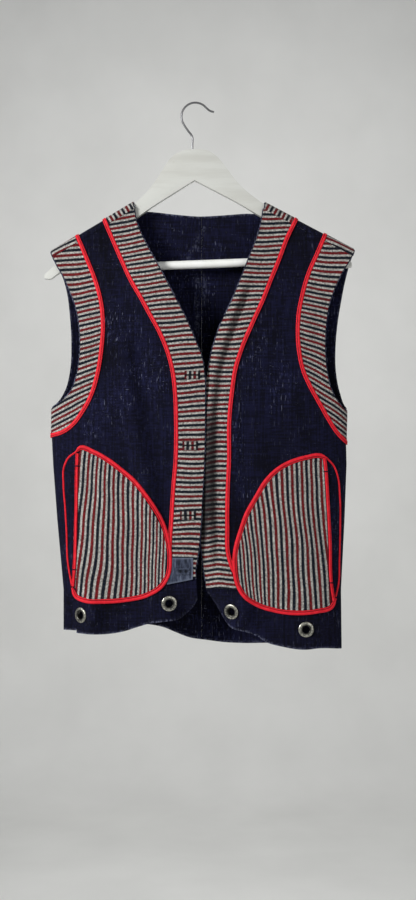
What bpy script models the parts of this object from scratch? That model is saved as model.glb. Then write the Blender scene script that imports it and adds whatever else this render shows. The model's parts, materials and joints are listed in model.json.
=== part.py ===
"""A banded cotton vest on a wooden coat hanger.

The origin is the inside top of the wire hook. The fronts face -Y, +X is the viewer's right and +Z is up.
"Right" and "left" in the names are the wearer's, so a right piece lies at -X.
"""

from math import cos, pi, radians, sin

import bmesh
import bpy
import numpy as np
from mathutils import Vector
from mathutils.bvhtree import BVHTree

MM = 0.001

# Driving dimensions, in millimetres
SEAM_GAP = 0.3
CLOTH = 1.5
BAND = 1.0
PIPING = 1.8
PIPING_WIDTH = 5.8
POCKET_CLOTH = 1.2
POCKET_BINDING = 2.7
POCKET_BINDING_WIDTH = 6.8
MOUTH_BINDING_WIDTH = 4.6
OUTLINE_WIDTH = 2.6
FACING = 0.8
POCKET_LIFT = 1.4
POCKET_BULGE = 2.2
NAVY_EDGE = 1.6
EYELET_OUTER = 11.0
EYELET_HOLE = 5.5
EYELET_BARREL = 6.3
BUTTONHOLE_LENGTH = 24.0
BUTTONHOLE_HEIGHT = 12.0
HANGER_THICK = 12.0
HANGER_ROLL = radians(2.2)
HANGER_STEP = 18
SEAT_GAP = 1.6
WIRE = 1.5
HOOK_RADIUS = 20.0
HOOK_CENTRE = (2.0, -18.5)
CROWN = (-0.7, -66.7)
BAR_RADIUS = 6.0
BAR_DROP = 165.0
BAR_HALF = 199.0

# The body under the cloth: centre line, wrap radius over the hanger arms, front and back depth by height
MIDDLE = 7.0
WRAP = 10.0
SEAM_FORWARD = 17.0
WRAP_ROWS = 24.0
SIDE_OVERLAP = 0.22
DROP_ROUNDING = 150.0
DEPTH_ROWS = (
    # height, front depth, back depth, right side fold x, left side fold x
    (-150, 20, 20, -209, 236),
    (-215, 24.5, 22.6, -208, 234.5),
    (-250, 27, 24, -206, 226),
    (-300, 29.3, 26, -204.7, 222.3),
    (-400, 34, 30, -204, 221),
    (-480, 34, 32, -205, 219),
    (-520, 34, 33, -203, 220),
    (-600, 34, 34, -197, 217),
    (-700, 32, 33, -188, 212),
    (-790, 30, 30, -188, 213),
)
# Soft upright waves, growing from nothing at the chest to the hem
WAVES = (
    # centre x, half-width, rise at the hem, front or back
    (-150, 34, 5.0, "front"),
    (-88, 30, -4.0, "front"),
    (96, 34, -4.5, "front"),
    (168, 26, 4.0, "front"),
    (-120, 46, 5.0, "back"),
    (-30, 40, -5.0, "back"),
    (60, 44, 6.0, "back"),
    (150, 40, -4.0, "back"),
)
# Cells of each cloth grid: round the body, and from shoulder to hem
SHEET_CELLS = {"front": (9, 20), "back": (7, 22)}
WAVE_TOP = -430
WAVE_FOOT = -770
ROLL_BACK = 6.0
ROLL_WIDTH = 26.0
CORNER_CURL = 13.0
CORNER_REACH = 42.0
RIGHT_CORNER = (0, -735)
LEFT_CORNER = (28, -738)

# Shoulder lines of the base cloth: the neck point's x, and the tip's x and z
SHOULDER = {
    "right": (-84.8, (-207.5, -214.0)),
    "left": (99.4, (232.5, -211.6)),
}

# Outlines seen from the front, x and z
NECK_EDGE = {
    "right": (
        (-85, -130), (-84.5, -150), (-82, -168), (-70, -198), (-49, -237), (-29, -275), (-8, -316),
        (5, -347), (13, -368), (16.5, -392), (17.3, -433), (17, -482), (16, -520), (13.5, -566),
        (11, -610), (7, -650), (4, -668), (5, -712),
    ),
    "left": (
        (99.5, -130), (99, -146), (96, -168), (89, -194), (76, -228), (64, -259), (50, -292), (37, -319),
        (26, -352), (19, -384), (13, -420), (9, -460), (8, -520), (8, -580), (9, -630), (12, -662),
        (17, -694), (21, -712),
    ),
}
HEM = {
    "right": (
        (5, -712), (0, -722), (-9, -731), (-21, -740), (-42, -743), (-62, -746), (-82, -752),
        (-97, -757), (-133, -762), (-169, -761),
    ),
    "left": (
        (21, -703), (33, -723), (41, -737), (53, -752), (73, -758), (91, -765), (103, -773),
        (128, -780), (157, -784), (180, -782.5), (214, -785), (230, -786),
    ),
    "back": (
        (-200, -758), (-150, -759), (-105, -755), (-65, -754), (-44, -758), (-27, -765), (-6, -773),
        (18, -777), (46, -781), (75, -782), (101, -781), (150, -779), (209, -775), (230, -774),
    ),
}
HEM_SEAM = {
    "right": ((-225, -709), (-187, -706), (-110, -699), (-34, -690), (5, -682), (30, -680)),
    "left": ((-5, -697), (18, -698), (59, -700), (130, -710), (208, -722), (240, -727)),
    "back": ((-225, -712), (-187, -710), (-6, -720), (33, -727), (120, -727), (208, -724), (240, -722)),
}
NECK_LINE = {
    "right": (
        (-132, -158), (-128, -170), (-118, -194), (-105, -224), (-91, -255), (-75, -283), (-62, -307),
        (-48, -333), (-37, -360), (-30, -387), (-26, -425), (-25, -457), (-25.5, -510), (-29, -556),
        (-31.5, -595), (-34.5, -640), (-36, -660),
    ),
    "left": (
        (151, -157), (147, -167), (134, -194), (122, -226), (109, -258), (98, -286), (84, -317),
        (69, -352), (59, -384), (54, -417), (50.5, -455), (50, -513), (48, -560), (47.5, -610),
        (49, -648), (55, -668), (63, -690),
    ),
}
ARM_LINE = {
    "right": (
        (-172, -182), (-167, -193), (-154, -224), (-141, -257), (-132, -291), (-129.5, -318),
        (-132, -359), (-137, -390), (-148, -425), (-160, -446), (-173, -463), (-187, -473),
        (-200, -477), (-222, -478),
    ),
    "left": (
        (194, -178), (189, -189), (177, -217), (165, -244), (155, -277), (149.5, -305), (148, -327),
        (149.5, -356), (155, -384), (166, -409), (179, -432), (191, -453), (204, -473), (220, -489),
        (236, -502),
    ),
}
ARMHOLE = {
    "right": (
        (-208, -195), (-207, -213), (-198, -234), (-187, -253), (-180, -270), (-173, -287),
        (-167, -309), (-164, -338), (-164.5, -366), (-169, -393), (-177, -414), (-187, -425),
        (-198, -433), (-209, -440), (-230, -444),
    ),
    "left": (
        (233, -195), (232, -210), (226, -224), (211, -250), (203, -268), (196, -287), (191, -314),
        (189, -351), (191, -383), (199, -415), (209, -431), (220, -442), (232, -448), (250, -450),
    ),
}
BACK_ARMHOLE = {
    "right": (
        (-208, -195), (-207, -213), (-199, -232), (-190, -250), (-184, -272), (-180, -305),
        (-178, -350), (-180, -385), (-187, -413), (-198, -431), (-209, -440), (-230, -444),
    ),
    "left": (
        (233, -195), (232, -210), (226, -228), (219, -254), (213, -284), (208, -315), (205, -350),
        (205.5, -385), (211, -416), (220, -439), (232, -448), (250, -450),
    ),
}
BACK_NECK = (
    (-86, -120), (-86, -141), (-85, -150), (-78, -153.5), (-62, -154.5), (-28, -158), (9, -160.5),
    (45, -159), (75, -157), (92, -156.5), (99.5, -153), (101, -143), (101, -120),
)
BACK_NECK_LINE = (
    (-131, -160), (-126, -176), (-105, -193), (-70, -204), (-28, -210), (9, -212), (45, -211),
    (85, -206), (120, -194), (144, -174), (150, -158),
)
BACK_ARM_LINE = {
    "right": (
        (-172, -182), (-167, -193), (-158, -222), (-150, -260), (-146, -305), (-146, -350), (-151, -390),
        (-161, -430), (-176, -457), (-192, -471), (-222, -478),
    ),
    "left": (
        (194, -178), (189, -189), (181, -217), (174, -260), (170, -305), (170, -350), (174, -392),
        (183, -432), (197, -463), (214, -483), (236, -502),
    ),
}
CENTRE_BACK = 11.0
RIGHT_HEM_SEAM_X = -168.0
POCKET_EDGE = {
    "right": (
        (-168, -502), (-162, -496.5), (-143, -502), (-123, -513), (-104, -527), (-85, -543), (-70, -561),
        (-55, -584), (-43, -607), (-36, -632), (-34, -655), (-37, -677), (-48, -694), (-66, -705),
        (-95, -712), (-125, -714.5), (-153, -714), (-167, -709), (-174, -696),
    ),
    "left": (
        (190, -511), (180, -507.5), (160, -510), (137, -517), (118, -528), (103, -543), (90, -564),
        (76, -589), (67, -613), (60, -638), (58, -665), (62, -689), (73, -708), (92, -720),
        (118, -728), (147, -731), (176, -729), (196, -724), (203, -712),
    ),
}
POCKET_MOUTH = {
    "right": ((-165, -492), (-166.5, -520), (-167.5, -590), (-170, -665), (-173, -700)),
    "left": ((184, -496), (187.5, -524), (191, -576), (194, -633), (195.5, -687), (200, -718)),
}
POCKET_SIDE = {
    "right": (
        (-168, -502), (-179, -510), (-185.5, -523), (-186.5, -548), (-184, -582), (-182, -619),
        (-180.5, -658), (-177, -680), (-174, -694),
    ),
    "left": (
        (190, -511), (200, -522), (206, -538), (209, -567), (209.5, -614), (208.5, -660), (207.5, -690),
        (203, -710),
    ),
}
# Eyelets: x, z
EYELETS = {"right": ((-161.5, -735), (-35, -717)), "left": ((54, -729), (160, -755))}
PATCH = ((-38, -652), (-1, -652), (-1.5, -682.5), (-38, -690))
# Buttonholes: x, z, what lies under them
BUTTONHOLES = ((-2, -393, 0), (-5, -493, 0), (-8, -592, 0), (-15, -672, 1))
# The hanger's upper and lower edges, x from its middle and z from its crown, before it is rolled
HANGER_TOP = (
    (0, 0), (13, -0.8), (24, -4.5), (34, -12.5), (44, -25.5), (54, -40), (64, -53), (76, -65),
    (88, -75), (120, -98), (170, -134), (212, -164.5), (221, -172),
)
HANGER_FOOT = (
    (221, -177.5), (213, -178.5), (205, -173.5), (150, -136), (88, -97), (63.4, -81), (30, -61.5), (0, -44.5),
)

COLOURS = {
    # material: sRGB, roughness, metallic
    "indigo_cotton": ((22, 24, 48), 0.9, 0.0),
    "striped_cotton": ((150, 135, 132), 0.9, 0.0),
    "red_bias": ((226, 38, 56), 0.75, 0.0),
    "pale_denim": ((75, 85, 120), 0.9, 0.0),
    "white_wood": ((216, 216, 210), 0.4, 0.0),
    "steel": ((170, 172, 172), 0.25, 1.0),
}


def collection(name):
    made = bpy.data.collections.new(name)
    bpy.context.scene.collection.children.link(made)
    return made


def linear(channel):
    value = channel / 255
    return value / 12.92 if value <= 0.04045 else ((value + 0.055) / 1.055) ** 2.4


def material(node, slot):
    rgb, roughness, metallic = COLOURS[slot]
    made = bpy.data.materials.new(node + "_" + slot)
    made.use_nodes = True
    shader = made.node_tree.nodes["Principled BSDF"]
    colour = [linear(channel) for channel in rgb] + [1.0]
    shader.inputs["Base Color"].default_value = colour
    shader.inputs["Roughness"].default_value = roughness
    shader.inputs["Metallic"].default_value = metallic
    made.diffuse_color = colour
    return made


def smooth(rows, step=25.0):
    """A smooth line through the rows, as points about one step apart."""
    points = np.array(rows, float)
    chord = np.concatenate([[0], np.cumsum(np.linalg.norm(np.diff(points, axis=0), axis=1))])
    slope = np.gradient(points, chord, axis=0)
    at = np.linspace(0, chord[-1], max(2, int(round(chord[-1] / step)) + 1))
    span = np.clip(np.searchsorted(chord, at, side="right") - 1, 0, len(chord) - 2)
    length = (chord[span + 1] - chord[span])[:, None]
    t = ((at - chord[span]) / length[:, 0])[:, None]
    start, end = points[span], points[span + 1]
    return (
        (2 * t**3 - 3 * t**2 + 1) * start
        + (t**3 - 2 * t**2 + t) * length * slope[span]
        + (3 * t**2 - 2 * t**3) * end
        + (t**3 - t**2) * length * slope[span + 1]
    )


def beside(line, distance):
    """The line moved sideways, to the left of its direction where the distance is positive."""
    way = np.gradient(line, axis=0)
    way /= np.linalg.norm(way, axis=1)[:, None]
    return line + distance * np.stack([-way[:, 1], way[:, 0]], axis=1)


def strip(line, width, ends=0.0):
    """The closed outline of a strip of this width along the line, made longer at both ends."""
    way = line[1] - line[0], line[-1] - line[-2]
    first = line[0] - ends * way[0] / np.linalg.norm(way[0])
    last = line[-1] + ends * way[1] / np.linalg.norm(way[1])
    line = np.vstack([first, line, last]) if ends else line
    return np.vstack([beside(line, width / 2), beside(line, -width / 2)[::-1]])


def ease(t):
    t = np.clip(t, 0.0, 1.0)
    return t * t * (3 - 2 * t)


def body(z):
    """Front depth, back depth, right side fold and left side fold at a height."""
    rows = np.array(DEPTH_ROWS, float)
    return [np.interp(-z, -rows[:, 0], rows[:, column]) for column in range(1, 5)]


def across(line, z):
    """The x of a falling line at a height."""
    return np.interp(-z, -line[:, 1], line[:, 0])


EDGE_LINES = {side: smooth(NECK_EDGE[side]) for side in NECK_EDGE}


def rolled(x, z):
    """A place on the hanger, given from its crown before it is rolled, in the vest's frame."""
    return (
        CROWN[0] + x * cos(HANGER_ROLL) - z * sin(HANGER_ROLL),
        CROWN[1] + x * sin(HANGER_ROLL) + z * cos(HANGER_ROLL),
    )


def hanger_top(x):
    """Height of the rolled hanger's upper edge at an x of the vest's frame."""
    line = np.array([rolled(px, pz) for px, pz in smooth(HANGER_TOP, HANGER_STEP) * (1 if x > CROWN[0] else (-1, 1))])
    order = np.argsort(line[:, 0])
    return float(np.interp(x, line[order, 0], line[order, 1]))


def shoulder_z(x, side):
    """Height of the base cloth's outer face on top of the hanger arm, and of the same slope carried inwards."""
    neck, tip = SHOULDER[side]
    slope = (tip[1] - SEATS[side]) / (tip[0] - neck)
    return SEATS[side] + slope * (x - neck)


# The base cloth's outer face where the neck points rest on the hanger
SEATS = {side: hanger_top(SHOULDER[side][0]) + SEAT_GAP + CLOTH for side in SHOULDER}


def folds(x, z, face):
    grown = ease((WAVE_TOP - z) / (WAVE_TOP - WAVE_FOOT))
    rise = 0.0
    for centre, half, height, where in WAVES:
        if where == face:
            rise += height * np.exp(-(((x - centre) / half) ** 2))
    return rise * grown


def settle(x, z, side):
    """How far a front lies behind its plain form: the left edge rolls back, and the hem corners curl back."""
    back = 0.0
    edge = across(EDGE_LINES[side], z)
    if side == "left":
        back += ROLL_BACK * (1 - ease((x - edge) / ROLL_WIDTH)) * ease((-250 - z) / 110)
    corner = RIGHT_CORNER if side == "right" else LEFT_CORNER
    away = np.hypot(x - corner[0], (z - corner[1]) * 1.1)
    back += CORNER_CURL * (1 - ease(away / CORNER_REACH))
    return back


def cloth_point(angle, run, side, face):
    """A point of the base cloth's outer face.

    The angle goes round the body from the middle, and a right angle is the side fold. The run is measured
    down the cloth from the top of the shoulder.
    """
    sign = -1 if side == "right" else 1
    quarter = WRAP * pi / 2
    x = MIDDLE
    for _ in range(6):
        top = shoulder_z(x, side)
        z = top - WRAP - (run - quarter) if run > quarter else top - WRAP * (1 - cos(run / WRAP))
        folded = body(z)[2 if side == "right" else 3]
        x = MIDDLE + (folded - MIDDLE) * sin(angle)
    depth = body(z)[0 if face == "front" else 1]
    lean = ease((run - quarter) / DROP_ROUNDING)
    out = WRAP * sin(min(max(run / WRAP, -pi / 2), pi / 2))
    if run < -quarter:
        z = top - WRAP + (run + quarter)
    if run > quarter:
        out = WRAP + (depth * cos(angle) - WRAP) * lean
        out += folds(x, z, face) * max(cos(angle), 0.0) ** 0.5
        if face == "front":
            out -= settle(x, z, side)
    y = -out if face == "front" else out
    return x, y, z


def sheet_mesh(name, side, face, lift=None):
    """The base cloth's outer face as a grid, from the shoulder to below the hem."""
    mesh = bpy.data.meshes.new(name)
    grid = bmesh.new()
    columns, rows = SHEET_CELLS[face]
    bmesh.ops.create_grid(grid, x_segments=columns, y_segments=rows, size=0.5)
    wrap_share = 0.3 if face == "back" else 0.04
    first = -SEAM_FORWARD if face == "back" else SEAM_FORWARD + 2 * SEAM_GAP
    inner = radians(-9) if side == "right" else radians(-4)
    if face == "back":
        inner = radians(-2)
    for vertex in grid.verts:
        u = vertex.co.x + 0.5
        v = vertex.co.y + 0.5
        reach = ease((v - 0.12) / 0.42) if face == "front" else ease((v - wrap_share) / 0.3)
        outer = radians(85) + (radians(90) + SIDE_OVERLAP - radians(85)) * reach
        spread = u * (0.5 + 0.5 * u) if face == "front" else u
        angle = inner + (outer - inner) * spread
        x = MIDDLE + (DEPTH_ROWS[5][3 if side == "right" else 4] - MIDDLE) * sin(angle)
        total = shoulder_z(x, side) - WRAP + WRAP * pi / 2 + 800
        if v < wrap_share:
            run = first + (WRAP_ROWS - first) * v / wrap_share
        else:
            run = WRAP_ROWS + (total - WRAP_ROWS) * (v - wrap_share) / (1 - wrap_share)
        vertex.co = cloth_point(angle, run, side, face)
    grid.normal_update()
    outward = sum((f.normal.y * f.calc_area() for f in grid.faces), 0.0)
    if (outward > 0) == (face == "front"):
        bmesh.ops.reverse_faces(grid, faces=grid.faces[:])
    grid.normal_update()
    if lift:
        moved = [(v, v.normal * lift(v.co.x, v.co.z)) for v in grid.verts]
        for vertex, move in moved:
            vertex.co += move
    bmesh.ops.triangulate(grid, faces=grid.faces[:])
    bmesh.ops.scale(grid, vec=(MM, MM, MM), verts=grid.verts[:])
    grid.to_mesh(mesh)
    grid.free()
    return mesh


def prism(name, outline, y_from, y_to):
    """A cutter: a flat outline in X and Z, extruded along Y."""
    curve = bpy.data.curves.new(name + "_outline", "CURVE")
    curve.dimensions = "2D"
    curve.fill_mode = "BOTH"
    curve.extrude = (y_to - y_from) / 2 * MM
    spline = curve.splines.new("POLY")
    spline.points.add(len(outline) - 1)
    for point, (x, z) in zip(spline.points, outline):
        point.co = (x * MM, z * MM, 0, 1)
    spline.use_cyclic_u = True
    return curve_to_cutter(name, curve, (0, (y_from + y_to) / 2 * MM, 0))


def curve_to_cutter(name, curve, place):
    guide = bpy.data.objects.new(name + "_guide", curve)
    cutters.objects.link(guide)
    bpy.context.view_layer.update()
    graph = bpy.context.evaluated_depsgraph_get()
    mesh = bpy.data.meshes.new_from_object(guide.evaluated_get(graph))
    bpy.data.objects.remove(guide)
    solid = bmesh.new()
    solid.from_mesh(mesh)
    bmesh.ops.remove_doubles(solid, verts=solid.verts[:], dist=1e-7)
    bmesh.ops.recalc_face_normals(solid, faces=solid.faces[:])
    solid.to_mesh(mesh)
    solid.free()
    made = bpy.data.objects.new(name, mesh)
    made.rotation_euler = (pi / 2, 0, 0)
    made.location = place
    made.hide_render = True
    made.display_type = "WIRE"
    cutters.objects.link(made)
    return made


def cut(piece, cutter, operation):
    boolean = piece.modifiers.new(operation.title(), "BOOLEAN")
    boolean.operation = operation
    boolean.object = cutter
    boolean.solver = "MANIFOLD"
    return boolean


def cloth_piece(name, slot, mesh, out, thick, within=(), without=(), outward=True):
    """A wall of cloth on the sheet: its near face lies this far out from the base cloth's outer face."""
    piece = bpy.data.objects.new(name, mesh)
    vest.objects.link(piece)
    piece.data = mesh.copy()
    piece.data.materials.clear()
    piece.data.materials.append(material(name, slot))
    if out:
        away = piece.modifiers.new("Out", "DISPLACE")
        away.mid_level = 0.0
        away.strength = out * MM
        away.direction = "NORMAL"
    wall = piece.modifiers.new("Wall", "SOLIDIFY")
    wall.thickness = thick * MM
    wall.offset = 1.0 if outward else -1.0
    for cutter in within:
        cut(piece, cutter, "INTERSECT")
    for cutter in without:
        cut(piece, cutter, "DIFFERENCE")
    return piece


def front_region(side):
    """The front's outline from the shoulder to the hem, wide past the side fold."""
    edge = EDGE_LINES[side]
    far = -260 if side == "right" else 280
    hem = smooth(HEM[side])
    if side == "right":
        hem = hem[np.argsort(-hem[:, 0])]
        return np.vstack([edge, hem[1:], [(far, -761)], [(far, -100)], [(-90, -100)]])
    return np.vstack([edge[:-1], hem, [(far, -787)], [(far, -100)], [(105, -100)]])


def below(seam, shift):
    """A region under a seam line."""
    line = smooth(seam) + np.array([0, shift])
    return np.vstack([line, [(line[-1][0], -900)], [(line[0][0], -900)]])


def above(seam, shift):
    line = smooth(seam) + np.array([0, shift])
    return np.vstack([line, [(line[-1][0], 0)], [(line[0][0], 0)]])


def armhole_cutter(name, rows, side):
    far = -300 if side == "right" else 320
    line = smooth(rows)
    return prism(name, np.vstack([line, [(far, line[-1][1])], [(far, -150)], [(line[0][0], -150)]]), -80, 80)


def beyond_mouth(side):
    """The region on the side seam's side of the pocket's mouth line."""
    mouth = smooth(POCKET_MOUTH[side])
    far = -300 if side == "right" else 320
    return np.vstack([mouth, [(far, mouth[-1][1])], [(far, mouth[0][1])]])


def make_front(side):
    """One front with all that is sewn on it."""
    front_half = (-120, -SEAM_GAP / 2)
    mesh = sheet_mesh("front_sheet_" + side, side, "front")
    region = prism("front_region_" + side, front_region(side), *front_half)
    armhole = armhole_cutter("armhole_" + side, ARMHOLE[side], side)
    up = prism("above_hem_seam_" + side, above(HEM_SEAM[side], SEAM_GAP / 2), *front_half)
    down = prism("below_hem_seam_" + side, below(HEM_SEAM[side], -SEAM_GAP / 2), *front_half)
    cloth_piece("front_" + side, "indigo_cotton", mesh, 0, CLOTH, (region, up), (armhole,), outward=False)

    # Neck band and its piping
    neck_line = smooth(NECK_LINE[side])
    edge_in = beside(EDGE_LINES[side], -NAVY_EDGE if side == "right" else NAVY_EDGE)
    if side == "right":
        band = np.vstack([edge_in[edge_in[:, 1] > -674], [(3, -681)], [(-50, -692)], neck_line[::-1]])
    else:
        band = np.vstack([edge_in[edge_in[:, 1] > -688], [(17.5, -695.5)], [(72, -698)], neck_line[::-1]])
    band_region = prism("neck_band_region_" + side, band, -120, 20)
    piping_region = prism("neck_piping_region_" + side, strip(neck_line, PIPING_WIDTH), -120, 20)
    piping_clear = prism(
        "neck_piping_clear_" + side, strip(neck_line, PIPING_WIDTH + 2 * SEAM_GAP, 2), -120, 20
    )
    edge = smooth(POCKET_EDGE[side])
    binding = strip(edge, POCKET_BINDING_WIDTH)
    binding_region = prism("binding_region_" + side, binding, *front_half)
    binding_clear = prism(
        "binding_clear_" + side, strip(edge, POCKET_BINDING_WIDTH + 2 * SEAM_GAP, 0.4), *front_half
    )
    inside = prism("pocket_closed_" + side, smooth(POCKET_EDGE[side]), -120, 20)
    cloth_piece(
        "neck_band_front_" + side, "striped_cotton", mesh, SEAM_GAP, BAND,
        (band_region,), (piping_clear, binding_clear, inside),
    )
    cloth_piece(
        "neck_piping_front_" + side, "red_bias", mesh, SEAM_GAP, PIPING,
        (piping_region,), (binding_clear, inside),
    )

    # Armhole band and its piping
    arm_line = smooth(ARM_LINE[side])
    arm_edge = smooth(ARMHOLE[side])
    arm_in = beside(arm_edge, NAVY_EDGE if side == "right" else -NAVY_EDGE)
    arm_band = prism("arm_band_region_" + side, np.vstack([arm_in, arm_line[::-1]]), *front_half)
    arm_piping = prism("arm_piping_region_" + side, strip(arm_line, PIPING_WIDTH), *front_half)
    arm_clear = prism(
        "arm_piping_clear_" + side, strip(arm_line, PIPING_WIDTH + 2 * SEAM_GAP, 2), *front_half
    )
    cloth_piece(
        "armhole_band_front_" + side, "striped_cotton", mesh, SEAM_GAP, BAND, (arm_band,), (arm_clear,)
    )
    cloth_piece("armhole_piping_front_" + side, "red_bias", mesh, SEAM_GAP, PIPING, (arm_piping,))

    make_pocket(side, mesh, inside, binding_region, binding_clear)
    make_front_hem(side, mesh, region, down)
    return mesh


def make_pocket(side, mesh, inside, binding_region, binding_clear):
    """A patch pocket open at its side: bindings, the striped front, the facing and its thin outline."""
    centre = np.mean(smooth(POCKET_EDGE[side]), axis=0)

    def bulge(x, z):
        away = np.hypot((x - centre[0]) / 75, (z - centre[1]) / 112)
        return POCKET_LIFT + POCKET_BULGE * (1 - ease(away))

    puffed = sheet_mesh("pocket_sheet_" + side, side, "front", bulge)
    mouth = smooth(POCKET_MOUTH[side])
    mouth_strip = strip(mouth, MOUTH_BINDING_WIDTH)
    mouth_region = prism("mouth_region_" + side, mouth_strip, -120, 20)
    mouth_clear = prism("mouth_clear_" + side, strip(mouth, MOUTH_BINDING_WIDTH + 2 * SEAM_GAP, 2), -120, 20)
    outside = prism("beyond_mouth_" + side, beyond_mouth(side), -120, 20)
    cloth_piece(
        "pocket_" + side, "striped_cotton", puffed, 0, POCKET_CLOTH,
        (inside,), (outside, binding_clear, mouth_clear),
    )
    cloth_piece("pocket_binding_" + side, "red_bias", mesh, SEAM_GAP, POCKET_BINDING, (binding_region,))
    cloth_piece(
        "pocket_mouth_binding_" + side, "red_bias", puffed, 0, POCKET_CLOTH + 0.8,
        (inside, mouth_region), (binding_clear,),
    )
    side_line = smooth(POCKET_SIDE[side])
    outline_region = prism("outline_region_" + side, strip(side_line, OUTLINE_WIDTH), -120, -SEAM_GAP / 2)
    outline_clear = prism(
        "outline_clear_" + side, strip(side_line, OUTLINE_WIDTH + 2 * SEAM_GAP, 2), -120, -SEAM_GAP / 2
    )
    behind = beside(mouth, 9 if side == "right" else -9)
    keep = (behind[:, 1] < side_line[:, 1].max()) & (behind[:, 1] > side_line[:, 1].min())
    facing = prism("facing_region_" + side, np.vstack([side_line, behind[keep][::-1]]), -120, -SEAM_GAP / 2)
    cloth_piece(
        "pocket_facing_" + side, "indigo_cotton", mesh, SEAM_GAP, FACING, (facing,), (outline_clear, binding_clear)
    )
    cloth_piece(
        "pocket_outline_" + side, "red_bias", mesh, SEAM_GAP, FACING + 0.4,
        (outline_region,), (binding_clear, mouth_clear),
    )


def seat_on(mesh, x, z):
    """Centre, outward direction and the highest and lowest cloth round a place seen from the front."""
    grid = bmesh.new()
    grid.from_mesh(mesh)
    tree = BVHTree.FromBMesh(grid)
    grid.free()
    ring = [(x, z)]
    for reach in (EYELET_OUTER / 2, EYELET_OUTER + 0.5):
        for step in range(12):
            turn = step * pi / 6
            ring.append((x + reach * cos(turn), z + reach * sin(turn)))
    normal = Vector()
    points = []
    for px, pz in ring:
        point, direction, _, _ = tree.ray_cast(Vector((px * MM, -0.2, pz * MM)), Vector((0, 1, 0)))
        points.append(point / MM)
        normal += direction
    normal.normalize()
    if normal.y > 0:
        normal.negate()
    heights = [(point - points[0]).dot(normal) for point in points]
    return points[0], normal, max(heights), min(heights)


def make_front_hem(side, mesh, region, down):
    """The hem band with its two eyelets."""
    band = cloth_piece("hem_band_front_" + side, "indigo_cotton", mesh, 0, CLOTH, (region, down), outward=False)
    if side == "right":
        edge = [(RIGHT_HEM_SEAM_X, -600), (RIGHT_HEM_SEAM_X, -850), (-300, -850), (-300, -600)]
        cut(band, prism("right_hem_side", edge, -120, 40), "DIFFERENCE")
    for number, (x, z) in enumerate(EYELETS[side]):
        centre, normal, high, low = seat_on(mesh, x, z)
        turn = Vector((0, 0, 1)).rotation_difference(normal)
        hole = cylinder("eyelet_hole_" + side + str(number), EYELET_BARREL + SEAM_GAP, 30, 24)
        hole.location = centre * MM
        hole.rotation_mode = "QUATERNION"
        hole.rotation_quaternion = turn
        cut(band, hole, "DIFFERENCE")
        make_eyelet("eyelet_" + side + "_" + str(number + 1), centre, turn, high, low)


def cylinder(name, radius, length, sides):
    mesh = bpy.data.meshes.new(name)
    solid = bmesh.new()
    bmesh.ops.create_cone(
        solid, cap_ends=True, segments=sides, radius1=radius * MM, radius2=radius * MM, depth=length * MM
    )
    solid.to_mesh(mesh)
    solid.free()
    made = bpy.data.objects.new(name, mesh)
    made.hide_render = True
    made.display_type = "WIRE"
    cutters.objects.link(made)
    return made


def make_eyelet(name, centre, turn, high, low):
    """A turned metal ring through the cloth: a rolled front flange, a barrel and a flatter back flange."""
    front = high + SEAM_GAP
    back = low - CLOTH - SEAM_GAP
    profile = (
        (EYELET_HOLE, front + 0.7), (EYELET_HOLE + 2.4, front + 1.5), (EYELET_OUTER, front + 0.6),
        (EYELET_OUTER, front), (EYELET_BARREL, front), (EYELET_BARREL, back),
        (EYELET_OUTER - 1.5, back), (EYELET_OUTER - 1.5, back - 0.8), (EYELET_HOLE, back - 0.8),
    )
    mesh = bpy.data.meshes.new(name)
    ring = bmesh.new()
    verts = [ring.verts.new((r * MM, 0, z * MM)) for r, z in profile]
    for first, second in zip(verts, verts[1:] + verts[:1]):
        ring.edges.new((first, second))
    ring.to_mesh(mesh)
    ring.free()
    made = bpy.data.objects.new(name, mesh)
    mesh.materials.append(material(name, "steel"))
    made.location = Vector(centre) * MM
    made.rotation_mode = "QUATERNION"
    made.rotation_quaternion = turn
    screw = made.modifiers.new("Turn", "SCREW")
    screw.steps = 14
    screw.render_steps = 14
    screw.use_merge_vertices = True
    screw.merge_threshold = 0.00001
    vest.objects.link(made)
    return made


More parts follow.
